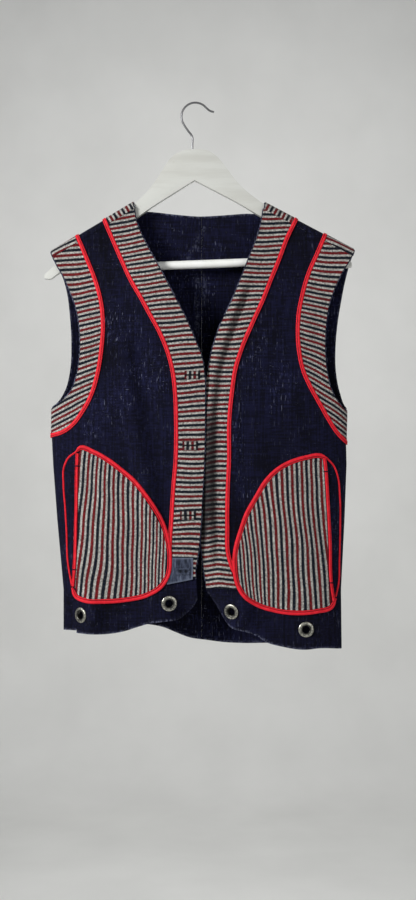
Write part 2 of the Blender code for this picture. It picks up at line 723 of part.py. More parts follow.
def make_back(side):
    """One half of the back, over the shoulder to the forward seam, with its armhole band."""
    mesh = sheet_mesh("back_sheet_" + side, side, "back")
    other_side = -300 if side == "right" else 300
    edge_x = CENTRE_BACK + (-SEAM_GAP / 2 if side == "right" else SEAM_GAP / 2)
    half = [(edge_x, -50), (edge_x, -900), (other_side, -900), (other_side, -50)]
    half_region = prism("back_half_" + side, half, -120, 120)
    up = prism("above_back_seam_" + side, above(HEM_SEAM["back"], SEAM_GAP / 2), -120, 120)
    neck = prism("back_neck_" + side, np.vstack([smooth(BACK_NECK), [(101, -40)], [(-86, -40)]]), -120, 120)
    armhole = armhole_cutter("back_armhole_" + side, BACK_ARMHOLE[side], side)
    seam_half = prism("front_of_side_" + side, [(-300, -240), (300, -240), (300, -900), (-300, -900)], -120, SEAM_GAP / 2)
    cloth_piece(
        "back_" + side, "indigo_cotton", mesh, 0, CLOTH,
        (half_region, up), (neck, armhole, seam_half), outward=False,
    )

    arm_line = smooth(BACK_ARM_LINE[side])
    arm_in = beside(smooth(BACK_ARMHOLE[side]), NAVY_EDGE if side == "right" else -NAVY_EDGE)
    band = prism("back_arm_band_region_" + side, np.vstack([arm_in, arm_line[::-1]]), -120, 120)
    strip_region = prism("back_arm_piping_region_" + side, strip(arm_line, PIPING_WIDTH), -120, 120)
    clear = prism(
        "back_arm_piping_clear_" + side, strip(arm_line, PIPING_WIDTH + 2 * SEAM_GAP, 2), -120, 120
    )
    cloth_piece(
        "armhole_band_back_" + side, "striped_cotton", mesh, SEAM_GAP, BAND, (band,), (clear, seam_half)
    )
    cloth_piece(
        "armhole_piping_back_" + side, "red_bias", mesh, SEAM_GAP, PIPING, (strip_region,), (seam_half,)
    )
    neck_line = smooth(BACK_NECK_LINE)
    neck_in = beside(smooth(BACK_NECK), -NAVY_EDGE)
    neck_band = prism("back_neck_band_region_" + side, np.vstack([neck_in, neck_line[::-1]]), -120, 120)
    neck_strip = prism("back_neck_piping_region_" + side, strip(neck_line, PIPING_WIDTH), -120, 120)
    neck_clear = prism(
        "back_neck_piping_clear_" + side, strip(neck_line, PIPING_WIDTH + 2 * SEAM_GAP, 2), -120, 120
    )
    cloth_piece(
        "neck_band_back_" + side, "striped_cotton", mesh, SEAM_GAP, BAND, (neck_band, half_region), (neck_clear,)
    )
    cloth_piece("neck_piping_back_" + side, "red_bias", mesh, SEAM_GAP, PIPING, (neck_strip, half_region))
    return mesh, half_region


def make_back_hem(right_mesh, left_mesh, right_half, left_half):
    """The back's hem band in two halves; at the right side it comes round to the front."""
    line = smooth(HEM["back"])
    hem = prism("back_hem_region", np.vstack([line, [(260, -600)], [(-260, -600)]]), -120, 120)
    down = prism("below_back_seam", below(HEM_SEAM["back"], -SEAM_GAP / 2), -120, 120)
    seam_half = bpy.data.objects["front_of_side_left"]
    cloth_piece(
        "hem_band_back_left", "indigo_cotton", left_mesh, 0, CLOTH,
        (left_half, hem, down), (seam_half,), outward=False,
    )
    right_seam = bpy.data.objects["front_of_side_right"]
    cloth_piece(
        "hem_band_back_right", "indigo_cotton", right_mesh, 0, CLOTH,
        (right_half, hem, down), (right_seam,), outward=False,
    )


def make_patch_and_buttonholes(mesh):
    on_band = SEAM_GAP + BAND + SEAM_GAP
    patch = prism("patch_region", PATCH, -120, 20)
    cloth_piece(
        "denim_patch", "pale_denim", mesh, on_band, 0.9, (patch,),
        (bpy.data.objects["binding_clear_right"], bpy.data.objects["neck_piping_clear_right"]),
    )
    for number, (x, z, on_patch) in enumerate(BUTTONHOLES):
        half_x, half_z = BUTTONHOLE_LENGTH / 2, BUTTONHOLE_HEIGHT / 2
        shape = [(x - half_x, z - half_z), (x + half_x, z - half_z), (x + half_x, z + half_z), (x - half_x, z + half_z)]
        slit = [(x - half_x + 3, z - 0.6), (x + half_x - 3, z - 0.6), (x + half_x - 3, z + 0.6), (x - half_x + 3, z + 0.6)]
        name = "buttonhole_" + str(number + 1)
        out = on_band + on_patch * (0.9 + SEAM_GAP)
        cloth_piece(
            name, "striped_cotton" if not on_patch else "pale_denim", mesh, out, 0.8,
            (prism(name + "_region", shape, -120, 20),), (prism(name + "_slit", slit, -120, 20),),
        )


def hanger_outline(grow=0.0):
    top = smooth(HANGER_TOP, HANGER_STEP)
    foot = smooth(HANGER_FOOT, 24)
    half = np.vstack([top, foot])
    other = half[::-1] * np.array([-1, 1])
    whole = np.vstack([half, other[1:-1]])
    if grow:
        whole = beside(whole, grow)
    return [rolled(x, z) for x, z in whole]


def make_hanger():
    """The wooden body, the trouser bar between its ends and the wire hook in its crown."""
    body_cutter = prism("hanger_blank", hanger_outline(), -HANGER_THICK / 2, HANGER_THICK / 2)
    wood = bpy.data.objects.new("hanger", body_cutter.data.copy())
    wood.rotation_euler = body_cutter.rotation_euler
    wood.location = body_cutter.location
    bpy.data.objects.remove(body_cutter)
    vest.objects.link(wood)
    wood.data.materials.append(material("hanger", "white_wood"))
    rounding = wood.modifiers.new("Rounding", "BEVEL")
    rounding.width = 3.2 * MM
    rounding.segments = 1
    rounding.limit_method = "ANGLE"
    rounding.angle_limit = radians(60)
    bore = cylinder("hook_bore", WIRE + SEAM_GAP, 26, 16)
    bore.location = (-2.4 * MM, 0, (CROWN[1] - 3) * MM)
    cut(wood, bore, "DIFFERENCE")

    bar = cylinder("hanger_bar", BAR_RADIUS, 2 * BAR_HALF, 20)
    cutters.objects.unlink(bar)
    vest.objects.link(bar)
    bar.hide_render = False
    bar.display_type = "TEXTURED"
    bar.data.materials.append(material("hanger_bar", "white_wood"))
    x, z = rolled(0, -BAR_DROP)
    bar.location = (x * MM, 0, z * MM)
    bar.rotation_euler = (0, pi / 2 - HANGER_ROLL, 0)
    clear = prism("hanger_clear", hanger_outline(SEAM_GAP), -20, 20)
    cut(bar, clear, "DIFFERENCE")
    for face in bar.data.polygons:
        face.use_smooth = len(face.vertices) == 4

    turn = np.radians(np.linspace(212, 42, 14))
    ring = [(HOOK_CENTRE[0] + HOOK_RADIUS * cos(a), HOOK_CENTRE[1] + HOOK_RADIUS * sin(a)) for a in turn]
    route = [(-2.4, CROWN[1] - 12), (-2.4, CROWN[1] + 6), (-2.8, -47), (-9, -38.5)] + ring + [(23.5, -10.5), (29, -12)]
    curve = bpy.data.curves.new("hanger_hook", "CURVE")
    curve.dimensions = "3D"
    curve.bevel_depth = WIRE * MM
    curve.bevel_resolution = 2
    curve.use_fill_caps = True
    spline = curve.splines.new("POLY")
    points = smooth(route, 4.5)
    spline.points.add(len(points) - 1)
    for point, (px, pz) in zip(spline.points, points):
        point.co = (px * MM, 0, pz * MM, 1)
    hook = bpy.data.objects.new("hanger_hook", curve)
    curve.materials.append(material("hanger_hook", "steel"))
    vest.objects.link(hook)


def main():
    front_mesh = make_front("right")
    make_front("left")
    right_mesh, right_half = make_back("right")
    left_mesh, left_half = make_back("left")
    make_back_hem(right_mesh, left_mesh, right_half, left_half)
    make_patch_and_buttonholes(front_mesh)
    make_hanger()


for thing in list(bpy.data.objects):
    bpy.data.objects.remove(thing)
vest = collection("vest_on_hanger")
cutters = collection("cutters")
main()
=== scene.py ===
import json
from math import cos, pi, radians, sin

import bmesh
import bpy
import numpy as np
from mathutils import Matrix, Vector
from mathutils.bvhtree import BVHTree

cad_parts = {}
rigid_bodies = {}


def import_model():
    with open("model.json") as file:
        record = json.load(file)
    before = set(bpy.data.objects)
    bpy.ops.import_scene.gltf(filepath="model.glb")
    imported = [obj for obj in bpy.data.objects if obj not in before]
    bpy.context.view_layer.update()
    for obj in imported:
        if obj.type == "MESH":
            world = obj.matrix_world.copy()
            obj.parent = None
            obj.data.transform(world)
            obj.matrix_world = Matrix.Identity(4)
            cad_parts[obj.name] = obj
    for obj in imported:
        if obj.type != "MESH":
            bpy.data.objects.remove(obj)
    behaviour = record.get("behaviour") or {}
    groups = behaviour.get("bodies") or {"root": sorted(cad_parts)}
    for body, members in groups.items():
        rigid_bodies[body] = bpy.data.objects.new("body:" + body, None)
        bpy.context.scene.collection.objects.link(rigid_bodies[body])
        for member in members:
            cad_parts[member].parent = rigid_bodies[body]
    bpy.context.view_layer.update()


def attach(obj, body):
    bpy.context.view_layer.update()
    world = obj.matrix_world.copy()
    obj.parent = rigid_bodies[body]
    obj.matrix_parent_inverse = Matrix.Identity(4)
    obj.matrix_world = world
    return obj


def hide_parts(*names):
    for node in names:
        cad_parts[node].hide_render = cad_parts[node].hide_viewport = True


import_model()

mm = 0.001

# A banded cotton vest on a wooden coat hanger. Tables are in millimetres, x to the viewer's right and
# z up, with the origin at the inside top of the wire hook. "Right" and "left" are the wearer's.

view = {
    "distance": 2000.0,      # from the hanger's plane to the camera
    "frameHeight": 1297.5,   # what the picture's long side shows at the hanger's plane
    "aim": (20.2, -499.2),
    "sensor": 36.0,
}
light = {
    "world": (205, 207, 210), "worldStrength": 0.28,
    "lamps": {
        # size in mm, watts, place, what it faces
        "key": (700, 55.0, (-1750, -1350, 300), (20, 0, -500)),
        "fill": (2200, 16.0, (1400, -1900, -200), (20, 0, -500)),
        "back": (1600, 14.0, (300, 1500, 500), (20, 0, -500)),
        "wall": (2600, 34.0, (0, 2200, 400), (0, 4600, -900)),
    },
}
room = {
    "floor": -2060.0, "wall": 4600.0, "near": -2600.0, "top": 3400.0, "half": 4200.0, "bend": 700.0,
    "pale": (236, 236, 233), "shade": (229, 229, 226),
}


def linear(channel):
    value = channel / 255
    return value / 12.92 if value <= 0.04045 else ((value + 0.055) / 1.055) ** 2.4


def tone(rgb):
    return [linear(channel) for channel in rgb] + [1.0]


def setUpCamera():
    data = bpy.data.cameras.new("camera")
    data.sensor_width = view["sensor"]
    data.lens = view["sensor"] * view["distance"] / view["frameHeight"]
    camera = bpy.data.objects.new("camera", data)
    camera.location = (view["aim"][0] * mm, -view["distance"] * mm, view["aim"][1] * mm)
    camera.rotation_euler = (pi / 2, 0, 0)
    bpy.context.scene.collection.objects.link(camera)
    bpy.context.scene.camera = camera


def setUpLight():
    scene = bpy.context.scene
    scene.view_settings.view_transform = "Standard"
    scene.view_settings.look = "None"
    world = bpy.data.worlds.new("paleRoom")
    scene.world = world
    world.use_nodes = True
    world.node_tree.nodes["Background"].inputs["Color"].default_value = tone(light["world"])
    world.node_tree.nodes["Background"].inputs["Strength"].default_value = light["worldStrength"]
    for name, (size, watts, spot, target) in light["lamps"].items():
        data = bpy.data.lights.new(name + "Light", "AREA")
        data.shape = "SQUARE"
        data.size = size * mm
        data.energy = watts
        lamp = bpy.data.objects.new(name + "Light", data)
        lamp.location = Vector(spot) * mm
        lamp.rotation_euler = (Vector(target) * mm - lamp.location).to_track_quat("-Z", "Y").to_euler()
        scene.collection.objects.link(lamp)


def setUpRoom():
    # A floor that bends up into a far wall
    bend, floor, wall = room["bend"], room["floor"], room["wall"]
    curl = np.linspace(0, pi / 2, 13)
    profile = [(room["near"], floor)]
    profile += [(wall - bend + bend * sin(t), floor + bend * (1 - cos(t))) for t in curl]
    profile += [(wall, room["top"])]
    corners = [(side * room["half"] * mm, y * mm, z * mm) for y, z in profile for side in (-1, 1)]
    faces = [(k, k + 1, k + 3, k + 2) for k in range(0, len(corners) - 2, 2)]
    mesh = bpy.data.meshes.new("paleFloor")
    mesh.from_pydata(corners, [], faces)
    mesh.shade_smooth()
    sweep = bpy.data.objects.new("paleFloor", mesh)
    bpy.context.scene.collection.objects.link(sweep)
    made, tree, shader = startMaterial("paleFloor", {"Roughness": 0.85})
    stops = ((0.3, room["shade"]), (0.7, room["pale"]))
    ramp(tree, noise(tree, 3.0, 3.0), stops, shader.inputs["Base Color"])
    mesh.materials.append(made)


# Materials

def startMaterial(name, finish):
    made = bpy.data.materials.new(name)
    made.use_nodes = True
    shader = made.node_tree.nodes["Principled BSDF"]
    for socket, value in finish.items():
        shader.inputs[socket].default_value = value
    return made, made.node_tree, shader


def feed(tree, socket, value):
    if isinstance(value, bpy.types.NodeSocket):
        tree.links.new(value, socket)
    elif value is not None:
        socket.default_value = value


def node(tree, kind, inputs=None, **settings):
    made = tree.nodes.new("ShaderNode" + kind)
    for name, value in settings.items():
        setattr(made, name, value)
    for name, value in (inputs or {}).items():
        feed(tree, made.inputs[name], value)
    return made


def place(tree, stretch=(1, 1, 1), shift=0.0):
    where = node(tree, "TexCoord").outputs["Object"]
    facts = {"Vector": where, "Scale": stretch, "Location": (shift, shift, shift)}
    return node(tree, "Mapping", facts).outputs[0]


def noise(tree, scale, detail, roughness=0.5, stretch=(1, 1, 1), shift=0.0):
    where = place(tree, stretch, shift)
    facts = {"Vector": where, "Scale": scale, "Detail": detail, "Roughness": roughness}
    return node(tree, "TexNoise", facts).outputs[0]


def sums(tree, operation, first, second=None):
    made = node(tree, "Math", operation=operation)
    feed(tree, made.inputs[0], first)
    feed(tree, made.inputs[1], second)
    return made.outputs[0]


def times(tree, first, second):
    return sums(tree, "MULTIPLY", first, second)


def between(tree, value, low, high, toLow=0.0, toHigh=1.0):
    facts = {"Value": value, "From Min": low, "From Max": high, "To Min": toLow, "To Max": toHigh}
    return node(tree, "MapRange", facts, interpolation_type="SMOOTHSTEP").outputs[0]


def ramp(tree, factor, stops, into=None):
    made = node(tree, "ValToRGB", {"Fac": factor})
    line = made.color_ramp
    while len(line.elements) < len(stops):
        line.elements.new(0.5)
    for element, (at, rgb) in zip(line.elements, stops):
        element.position = at
        element.color = tone(rgb)
    if into:
        tree.links.new(made.outputs[0], into)
    return made.outputs[0]


def blendColour(tree, factor, first, second, mode="MIX"):
    made = node(tree, "Mix", data_type="RGBA", blend_type=mode)
    feed(tree, made.inputs[0], factor)
    for socket, value in ((made.inputs[6], first), (made.inputs[7], second)):
        feed(tree, socket, tone(value) if isinstance(value, tuple) else value)
    return made.outputs[2]


def shaded(tree, colour, amount):
    # The colour made darker or lighter by a factor that varies over the surface
    grey = node(tree, "CombineColor", {0: amount, 1: amount, 2: amount})
    return blendColour(tree, 1.0, colour, grey.outputs[0], "MULTIPLY")


def bumps(tree, shader, height, distance, strength=1.0, under=None):
    made = node(tree, "Bump", {"Height": height, "Distance": distance, "Strength": strength})
    feed(tree, made.inputs["Normal"], under)
    tree.links.new(made.outputs[0], shader.inputs["Normal"])
    return made.outputs[0]


def marked(tree, name):
    return node(tree, "Attribute", attribute_name=name).outputs["Fac"]


def streaks(tree, scale, stretch, low, high, shift=0.0, detail=2.0):
    return between(tree, noise(tree, scale, detail, 0.6, stretch, shift), low, high)


def weave(tree, scale):
    # The over and under of the threads, as a height
    facts = {"Vector": place(tree), "Scale": scale, "Distortion": 0.6, "Detail": 1.0}
    return times(tree, *[node(tree, "TexWave", facts, bands_direction=way).outputs[0] for way in "XZ"])


indigo = {
    "dark": (4, 4, 14), "base": (11, 12, 33), "faded": (31, 34, 63), "fleck": (122, 126, 152),
    "finish": {"Roughness": 0.92, "Specular IOR Level": 0.12, "Sheen Weight": 0.02},
    "clouds": (9.0, 3.0, 0.55, (1, 1, 0.7)),      # scale, detail, roughness, stretch
    "threads": (430.0, 0.035), "hazeShare": 0.7, "edgeShare": 0.75,
    # scale, stretch, where it starts and is full, shift, detail
    "clusters": (17.0, (1, 1, 0.7), 0.46, 0.7, 3.0),
    "haze": (330.0, (1, 1, 0.35), 0.45, 0.72, 1.0, 4.0),
    "edges": (420.0, (1, 1, 0.6), 0.42, 0.62, 2.0, 4.0),
    "rubs": (
        (620.0, (1, 1, 0.12), 0.63, 0.73, 5.0), (560.0, (0.2, 1, 1), 0.68, 0.75, 8.0),
        (700.0, (1, 1, 0.6), 0.68, 0.77, 11.0),
    ),
}
striped = {
    "repeat": 13.4,
    # The last colour is painted shade: the near-black that the shade mark blends a surface towards
    "pale": (189, 187, 181), "maroon": (112, 12, 21), "navy": (7, 14, 31), "paintedShade": (7, 8, 14),
    "stops": (
        # share of the repeat, colour
        (0.0, "maroon"), (0.125, "maroon"), (0.17, "pale"), (0.33, "pale"), (0.375, "navy"),
        (0.625, "navy"), (0.67, "pale"), (0.83, "pale"), (0.875, "maroon"), (1.0, "maroon"),
    ),
    "finish": {"Roughness": 0.95, "Specular IOR Level": 0.2, "Sheen Weight": 0.08},
    "fuzz": (1000.0, 2.0, 2.2), "sway": (13.0, 1.0, 4.0),      # scale, detail, mm a stripe strays
    # scale, detail, roughness, darkest and lightest factor
    "heather": (760.0, 3.0, 0.8, 0.42, 1.2), "yarn": (360.0, 2.0, 0.7, 0.66, 1.16),
    # The last share is how far painted shade goes towards that near-black
    "dust": (900.0, (1, 1, 1), 0.62, 0.7, 4.0), "dustShare": 0.28, "paintedShadeShare": 0.92,
}
bias = {
    # The groove colour is painted shade: in the sewn groove, at the strip's feet and on its stitches
    "deep": (206, 12, 32), "colour": (231, 20, 42), "worn": (238, 50, 66), "grooveShade": (118, 5, 18),
    "finish": {"Roughness": 0.65, "Specular IOR Level": 0.3, "Sheen Weight": 0.05},
}
denim = {
    "dark": (34, 38, 50), "base": (62, 69, 88), "pale": (112, 120, 140),
    "finish": {"Roughness": 0.9, "Specular IOR Level": 0.2},
    # The last share is how far painted shade goes towards the stripes' near-black
    "streak": (260.0, 4.0, 0.75, (1, 1, 0.15)), "wornShare": 0.8, "paintedShadeShare": 0.9,
}
wood = {
    "body": {"base": (208, 209, 203), "grain": (196, 196, 189), "worn": (172, 169, 158)},
    # The bar has the body's white paint; its lighter colours are painted light, making up for the vest's
    # shade over it
    "barPaintedLight": {"base": (250, 251, 248), "grain": (243, 244, 239), "worn": (226, 224, 214)},
    "finish": {"Roughness": 0.42, "Specular IOR Level": 0.4, "Coat Weight": 0.2, "Coat Roughness": 0.3},
    "chip": (95.0, (1, 1, 1), 0.68, 0.76, 0.0, 4.0), "chipShare": 0.5,
}
metals = {
    "steel": {"light": (146, 146, 147), "dark": (122, 122, 124), "rough": (0.3, 0.4), "scale": 60.0},
    "nickel": {"light": (200, 198, 184), "dark": (92, 92, 88), "rough": (0.3, 0.5), "scale": 420.0},
}


def indigoCloth():
    made, tree, shader = startMaterial("indigoCotton", indigo["finish"])
    colour = ramp(tree, noise(tree, *indigo["clouds"]), ((0.3, indigo["dark"]), (0.52, indigo["base"])))
    clusters = streaks(tree, *indigo["clusters"])
    haze = times(tree, clusters, streaks(tree, *indigo["haze"]))
    colour = blendColour(tree, times(tree, haze, indigo["hazeShare"]), colour, indigo["faded"])
    # The upright and level threads of the weave
    scale, long = indigo["threads"]
    threads = [noise(tree, scale, 1.0, stretch=stretch) for stretch in ((1, 1, long), (long, 1, 1))]
    colour = shaded(tree, colour, between(tree, sums(tree, "ADD", *threads), 0.8, 1.2, 0.6, 1.6))
    # Short whitish dashes and flecks where the colour has rubbed off
    dashes, short, flecks = (streaks(tree, *facts) for facts in indigo["rubs"])
    rubbed = sums(tree, "MAXIMUM", sums(tree, "MAXIMUM", dashes, short), flecks)
    rubbed = times(tree, rubbed, sums(tree, "ADD", times(tree, clusters, 0.5), 0.1))
    colour = blendColour(tree, rubbed, colour, indigo["fleck"])
    edges = times(tree, marked(tree, "wear"), streaks(tree, *indigo["edges"]))
    colour = blendColour(tree, times(tree, edges, indigo["edgeShare"]), colour, indigo["fleck"])
    tree.links.new(colour, shader.inputs["Base Color"])
    first = bumps(tree, shader, weave(tree, 1300.0), 0.00012, 0.5)
    bumps(tree, shader, noise(tree, 48.0, 4.0, 0.6), 0.002, 0.5, first)
    return made


def stripedCloth():
    made, tree, shader = startMaterial("stripedCotton", striped["finish"])
    phase = marked(tree, "stripe")
    for key in ("fuzz", "sway"):
        scale, detail, strays = striped[key]
        centred = sums(tree, "SUBTRACT", noise(tree, scale, detail), 0.5)
        phase = sums(tree, "ADD", phase, times(tree, centred, strays))
    share = sums(tree, "FRACT", sums(tree, "DIVIDE", phase, striped["repeat"]))
    colour = ramp(tree, share, [(at, striped[name]) for at, name in striped["stops"]])
    # Heathered yarn: light and dark specks the size of a few threads
    for key in ("yarn", "heather"):
        scale, detail, roughness, darkest, lightest = striped[key]
        specks = noise(tree, scale, detail, roughness)
        colour = shaded(tree, colour, between(tree, specks, 0.38, 0.62, darkest, lightest))
    dust = times(tree, streaks(tree, *striped["dust"]), striped["dustShare"])
    colour = blendColour(tree, dust, colour, striped["pale"])
    # Painted shade where the shade mark asks for it: the left band's fold, the shadow of the right
    # front's edge, and the buttonholes
    paintedShade = times(tree, marked(tree, "shade"), striped["paintedShadeShare"])
    tree.links.new(blendColour(tree, paintedShade, colour, striped["paintedShade"]), shader.inputs["Base Color"])
    first = bumps(tree, shader, weave(tree, 900.0), 0.0002, 0.6)
    bumps(tree, shader, specks, 0.0003, 0.7, first)
    return made


def redBias():
    made, tree, shader = startMaterial("redBias", bias["finish"])
    rub = noise(tree, 150.0, 4.0, 0.65)
    colour = ramp(tree, rub, ((0.34, bias["deep"]), (0.55, bias["colour"]), (0.85, bias["worn"])))
    # Painted shade in the sewn groove and at the strip's feet
    colour = blendColour(tree, marked(tree, "grooveShade"), colour, bias["grooveShade"])
    tree.links.new(colour, shader.inputs["Base Color"])
    first = bumps(tree, shader, weave(tree, 1500.0), 0.0001, 0.5)
    bumps(tree, shader, rub, 0.0005, 0.5, first)
    return made


def paleDenim():
    made, tree, shader = startMaterial("paleDenim", denim["finish"])
    stops = ((0.34, denim["dark"]), (0.5, denim["base"]), (0.72, denim["pale"]))
    colour = ramp(tree, noise(tree, *denim["streak"]), stops)
    wear = times(tree, marked(tree, "wear"), denim["wornShare"])
    # Painted shade in the patch buttonhole's slit, rim and blotches
    paintedShade = times(tree, marked(tree, "shade"), denim["paintedShadeShare"])
    colour = blendColour(tree, wear, colour, denim["pale"])
    tree.links.new(blendColour(tree, paintedShade, colour, striped["paintedShade"]), shader.inputs["Base Color"])
    bumps(tree, shader, weave(tree, 1000.0), 0.0002, 0.7)
    return made


def whiteWood(part):
    facts = wood[part]
    made, tree, shader = startMaterial("whiteWood" + part.title(), wood["finish"])
    grain = noise(tree, 60.0, 5.0, 0.6, (0.12, 1, 1))
    colour = ramp(tree, grain, ((0.35, facts["grain"]), (0.6, facts["base"])))
    chips = times(tree, streaks(tree, *wood["chip"]), wood["chipShare"])
    tree.links.new(blendColour(tree, chips, colour, facts["worn"]), shader.inputs["Base Color"])
    bumps(tree, shader, grain, 0.0003, 0.25)
    return made


def metal(name):
    facts = metals[name]
    made, tree, shader = startMaterial(name, {"Metallic": 0.9})
    tarnish = noise(tree, facts["scale"], 4.0, 0.6)
    colour = ramp(tree, tarnish, ((0.36, facts["dark"]), (0.6, facts["light"])))
    # Painted shade where a part carries the shade mark: the eyelets' inner slope
    paintedShade = times(tree, marked(tree, "shade"), 0.85)
    tree.links.new(blendColour(tree, paintedShade, colour, striped["paintedShade"]), shader.inputs["Base Color"])
    rough = between(tree, tarnish, 0.3, 0.7, *reversed(facts["rough"]))
    tree.links.new(rough, shader.inputs["Roughness"])
    return made


materials = {
    "indigo_cotton": indigoCloth(), "striped_cotton": stripedCloth(), "red_bias": redBias(),
    "pale_denim": paleDenim(), "white_wood": whiteWood("body"), "white_wood_painted_light": whiteWood("barPaintedLight"),
    "steel": metal("steel"), "nickel": metal("nickel"),
}
setUpCamera()
setUpLight()
setUpRoom()
print("camera, light and materials are ready")


# Lines and the worn form

hangerForm = {
    "crown": (-0.7, -66.7), "roll": radians(2.2), "thick": 12.0, "rounding": 4.2,
    "top": (
        (0, 0), (13, -0.8), (24, -4.5), (34, -12.5), (44, -25.5), (54, -40), (64, -53), (76, -65),
        (88, -75), (120, -98), (170, -134), (212, -164.5), (221, -172),
    ),
    "foot": (
        (221, -177.5), (213, -178.5), (205, -173.5), (150, -136), (88, -97), (63.4, -81), (30, -61.5),
        (0, -44.5),
    ),
    "barDrop": 165.0, "barHalf": 199.0, "barRadius": 6.0, "wire": 1.5, "hookRadius": 20.0,
    "hookCentre": (2.0, -18.5), "hookTurn": (212, 42), "barEdge": 0.6,
    # the wire's route: up from the crown to the round part, and after it to the tip
    "shank": ((-2.4, -12), (-2.4, 6)), "neck": ((-2.8, -47), (-9, -38.5)),
    "tip": ((23.5, -10.5), (29, -12)),
}
worn = {
    "cloth": 1.5, "gap": 0.3, "seam": 0.02, "band": 1.0, "navyEdge": 1.6, "seatGap": 1.6,
    "middle": 7.0, "wrap": 10.0, "seamForward": 17.0, "wrapRows": 24.0, "dropRounding": 150.0,
    "sideOverlap": 0.22,
    "depths": (
        # height, front depth, back depth, right side fold x, left side fold x
        (-150, 20, 20, -209, 236), (-215, 24.5, 22.6, -208, 234.5), (-250, 27, 24, -206, 226),
        (-300, 29.3, 26, -204.7, 222.3), (-400, 34, 30, -204, 221), (-480, 34, 32, -205, 219),
        (-520, 34, 33, -203, 220), (-600, 34, 34, -197, 217), (-700, 32, 33, -188, 212),
        (-790, 30, 30, -188, 213),
    ),
    "waves": (
        # centre x, half-width, rise at the hem, front or back
        (-150, 34, 5.0, "front"), (-88, 30, -4.0, "front"), (96, 34, -4.5, "front"),
        (168, 26, 4.0, "front"), (-120, 46, 5.0, "back"), (-30, 40, -5.0, "back"), (60, 44, 6.0, "back"),
        (150, 40, -4.0, "back"),
    ),
    "waveTop": -430, "waveFoot": -770,
    "rollBack": 9.0, "rollWidth": 26.0, "rollTop": (-250, 110), "cornerCurl": 13.0, "cornerReach": 42.0,
    "corner": {"right": (0, -735), "left": (28, -738)},
    "shoulder": {"right": (-84.8, (-207.5, -214.0)), "left": (99.4, (232.5, -211.6))},
    "creaseSide": (1.45, 0.3),      # the angle from which creases fade round the side
}
sheetForm = {
    # cells across and down, share of the rows over the shoulder, where the side's wrap grows, and how
    # much the columns crowd towards the middle
    "front": {"cells": (86, 244), "share": 0.03, "grow": (0.12, 0.42), "crowd": 0.5},
    "back": {"cells": (74, 244), "share": 0.14, "grow": (0.14, 0.3), "crowd": 0.0},
    # in degrees, where a sheet starts beyond the middle, and how far its side goes round
    "inner": {"frontRight": -9, "frontLeft": -4, "backRight": -2, "backLeft": -2},
    "side": 85, "sideLow": 5, "level": -480, "length": 800,
}
neckEdge = {
    "right": (
        (-85, -130), (-84.5, -150), (-82, -168), (-70, -198), (-49, -237), (-29, -275), (-8, -316),
        (5, -347), (13, -368), (16.5, -392), (17.3, -433), (17, -482), (16, -520), (13.5, -566),
        (11, -610), (7, -650), (4, -668), (5, -712),
    ),
    "left": (
        (99.5, -130), (99, -146), (96, -168), (89, -194), (76, -228), (64, -259), (50, -292), (37, -319),
        (26, -352), (19, -384), (13, -420), (9, -460), (8, -520), (8, -580), (9, -630), (12, -662),
        (17, -694), (21, -712),
    ),
}
hem = {
    "right": (
        (5, -712), (0, -722), (-9, -731), (-21, -740), (-42, -743), (-62, -746), (-82, -752),
        (-97, -757), (-133, -762), (-169, -761),
    ),
    "left": (
        (21, -703), (33, -723), (41, -737), (53, -752), (73, -758), (91, -765), (103, -773),
        (128, -780), (157, -784), (180, -782.5), (214, -785), (230, -786),
    ),
    "back": (
        (-200, -758), (-150, -759), (-105, -755), (-65, -754), (-44, -758), (-27, -765), (-6, -773),
        (18, -777), (46, -781), (75, -782), (101, -781), (150, -779), (209, -775), (230, -774),
    ),
}
hemSeam = {
    "right": ((-225, -709), (-187, -706), (-110, -699), (-34, -690), (5, -682), (30, -680)),
    "left": ((-5, -697), (18, -698), (59, -700), (130, -710), (208, -722), (240, -727)),
    "back": ((-225, -712), (-187, -710), (-6, -720), (33, -727), (120, -727), (208, -724), (240, -722)),
}
neckLine = {
    "right": (
        (-132, -158), (-128, -170), (-118, -194), (-105, -224), (-91, -255), (-75, -283), (-62, -307),
        (-48, -333), (-37, -360), (-30, -387), (-26, -425), (-25, -457), (-25.5, -510), (-29, -556),
        (-31.5, -595), (-34.5, -640), (-36, -660),
    ),
    "left": (
        (151, -157), (147, -167), (134, -194), (122, -226), (109, -258), (98, -286), (84, -317),
        (69, -352), (59, -384), (54, -417), (50.5, -455), (50, -513), (48, -560), (47.5, -610),
        (49, -648), (55, -668), (63, -690),
    ),
}
armLine = {
    "right": (
        (-172, -182), (-167, -193), (-154, -224), (-141, -257), (-132, -291), (-129.5, -318),
        (-132, -359), (-137, -390), (-148, -425), (-160, -446), (-173, -463), (-187, -473),
        (-200, -477), (-222, -478),
    ),
    "left": (
        (194, -178), (189, -189), (177, -217), (165, -244), (155, -277), (149.5, -305), (148, -327),
        (149.5, -356), (155, -384), (166, -409), (179, -432), (191, -453), (204, -473), (220, -489),
        (236, -502),
    ),
}
armhole = {
    "right": (
        (-208, -195), (-207, -213), (-198, -234), (-187, -253), (-180, -270), (-173, -287),
        (-167, -309), (-164, -338), (-164.5, -366), (-169, -393), (-177, -414), (-187, -425),
        (-198, -433), (-209, -440), (-230, -444),
    ),
    "left": (
        (233, -195), (232, -210), (226, -224), (211, -250), (203, -268), (196, -287), (191, -314),
        (189, -351), (191, -383), (199, -415), (209, -431), (220, -442), (232, -448), (250, -450),
    ),
}
backArmhole = {
    "right": (
        (-208, -195), (-207, -213), (-199, -232), (-190, -250), (-184, -272), (-180, -305),
        (-178, -350), (-180, -385), (-187, -413), (-198, -431), (-209, -440), (-230, -444),
    ),
    "left": (
        (233, -195), (232, -210), (226, -228), (219, -254), (213, -284), (208, -315), (205, -350),
        (205.5, -385), (211, -416), (220, -439), (232, -448), (250, -450),
    ),
}
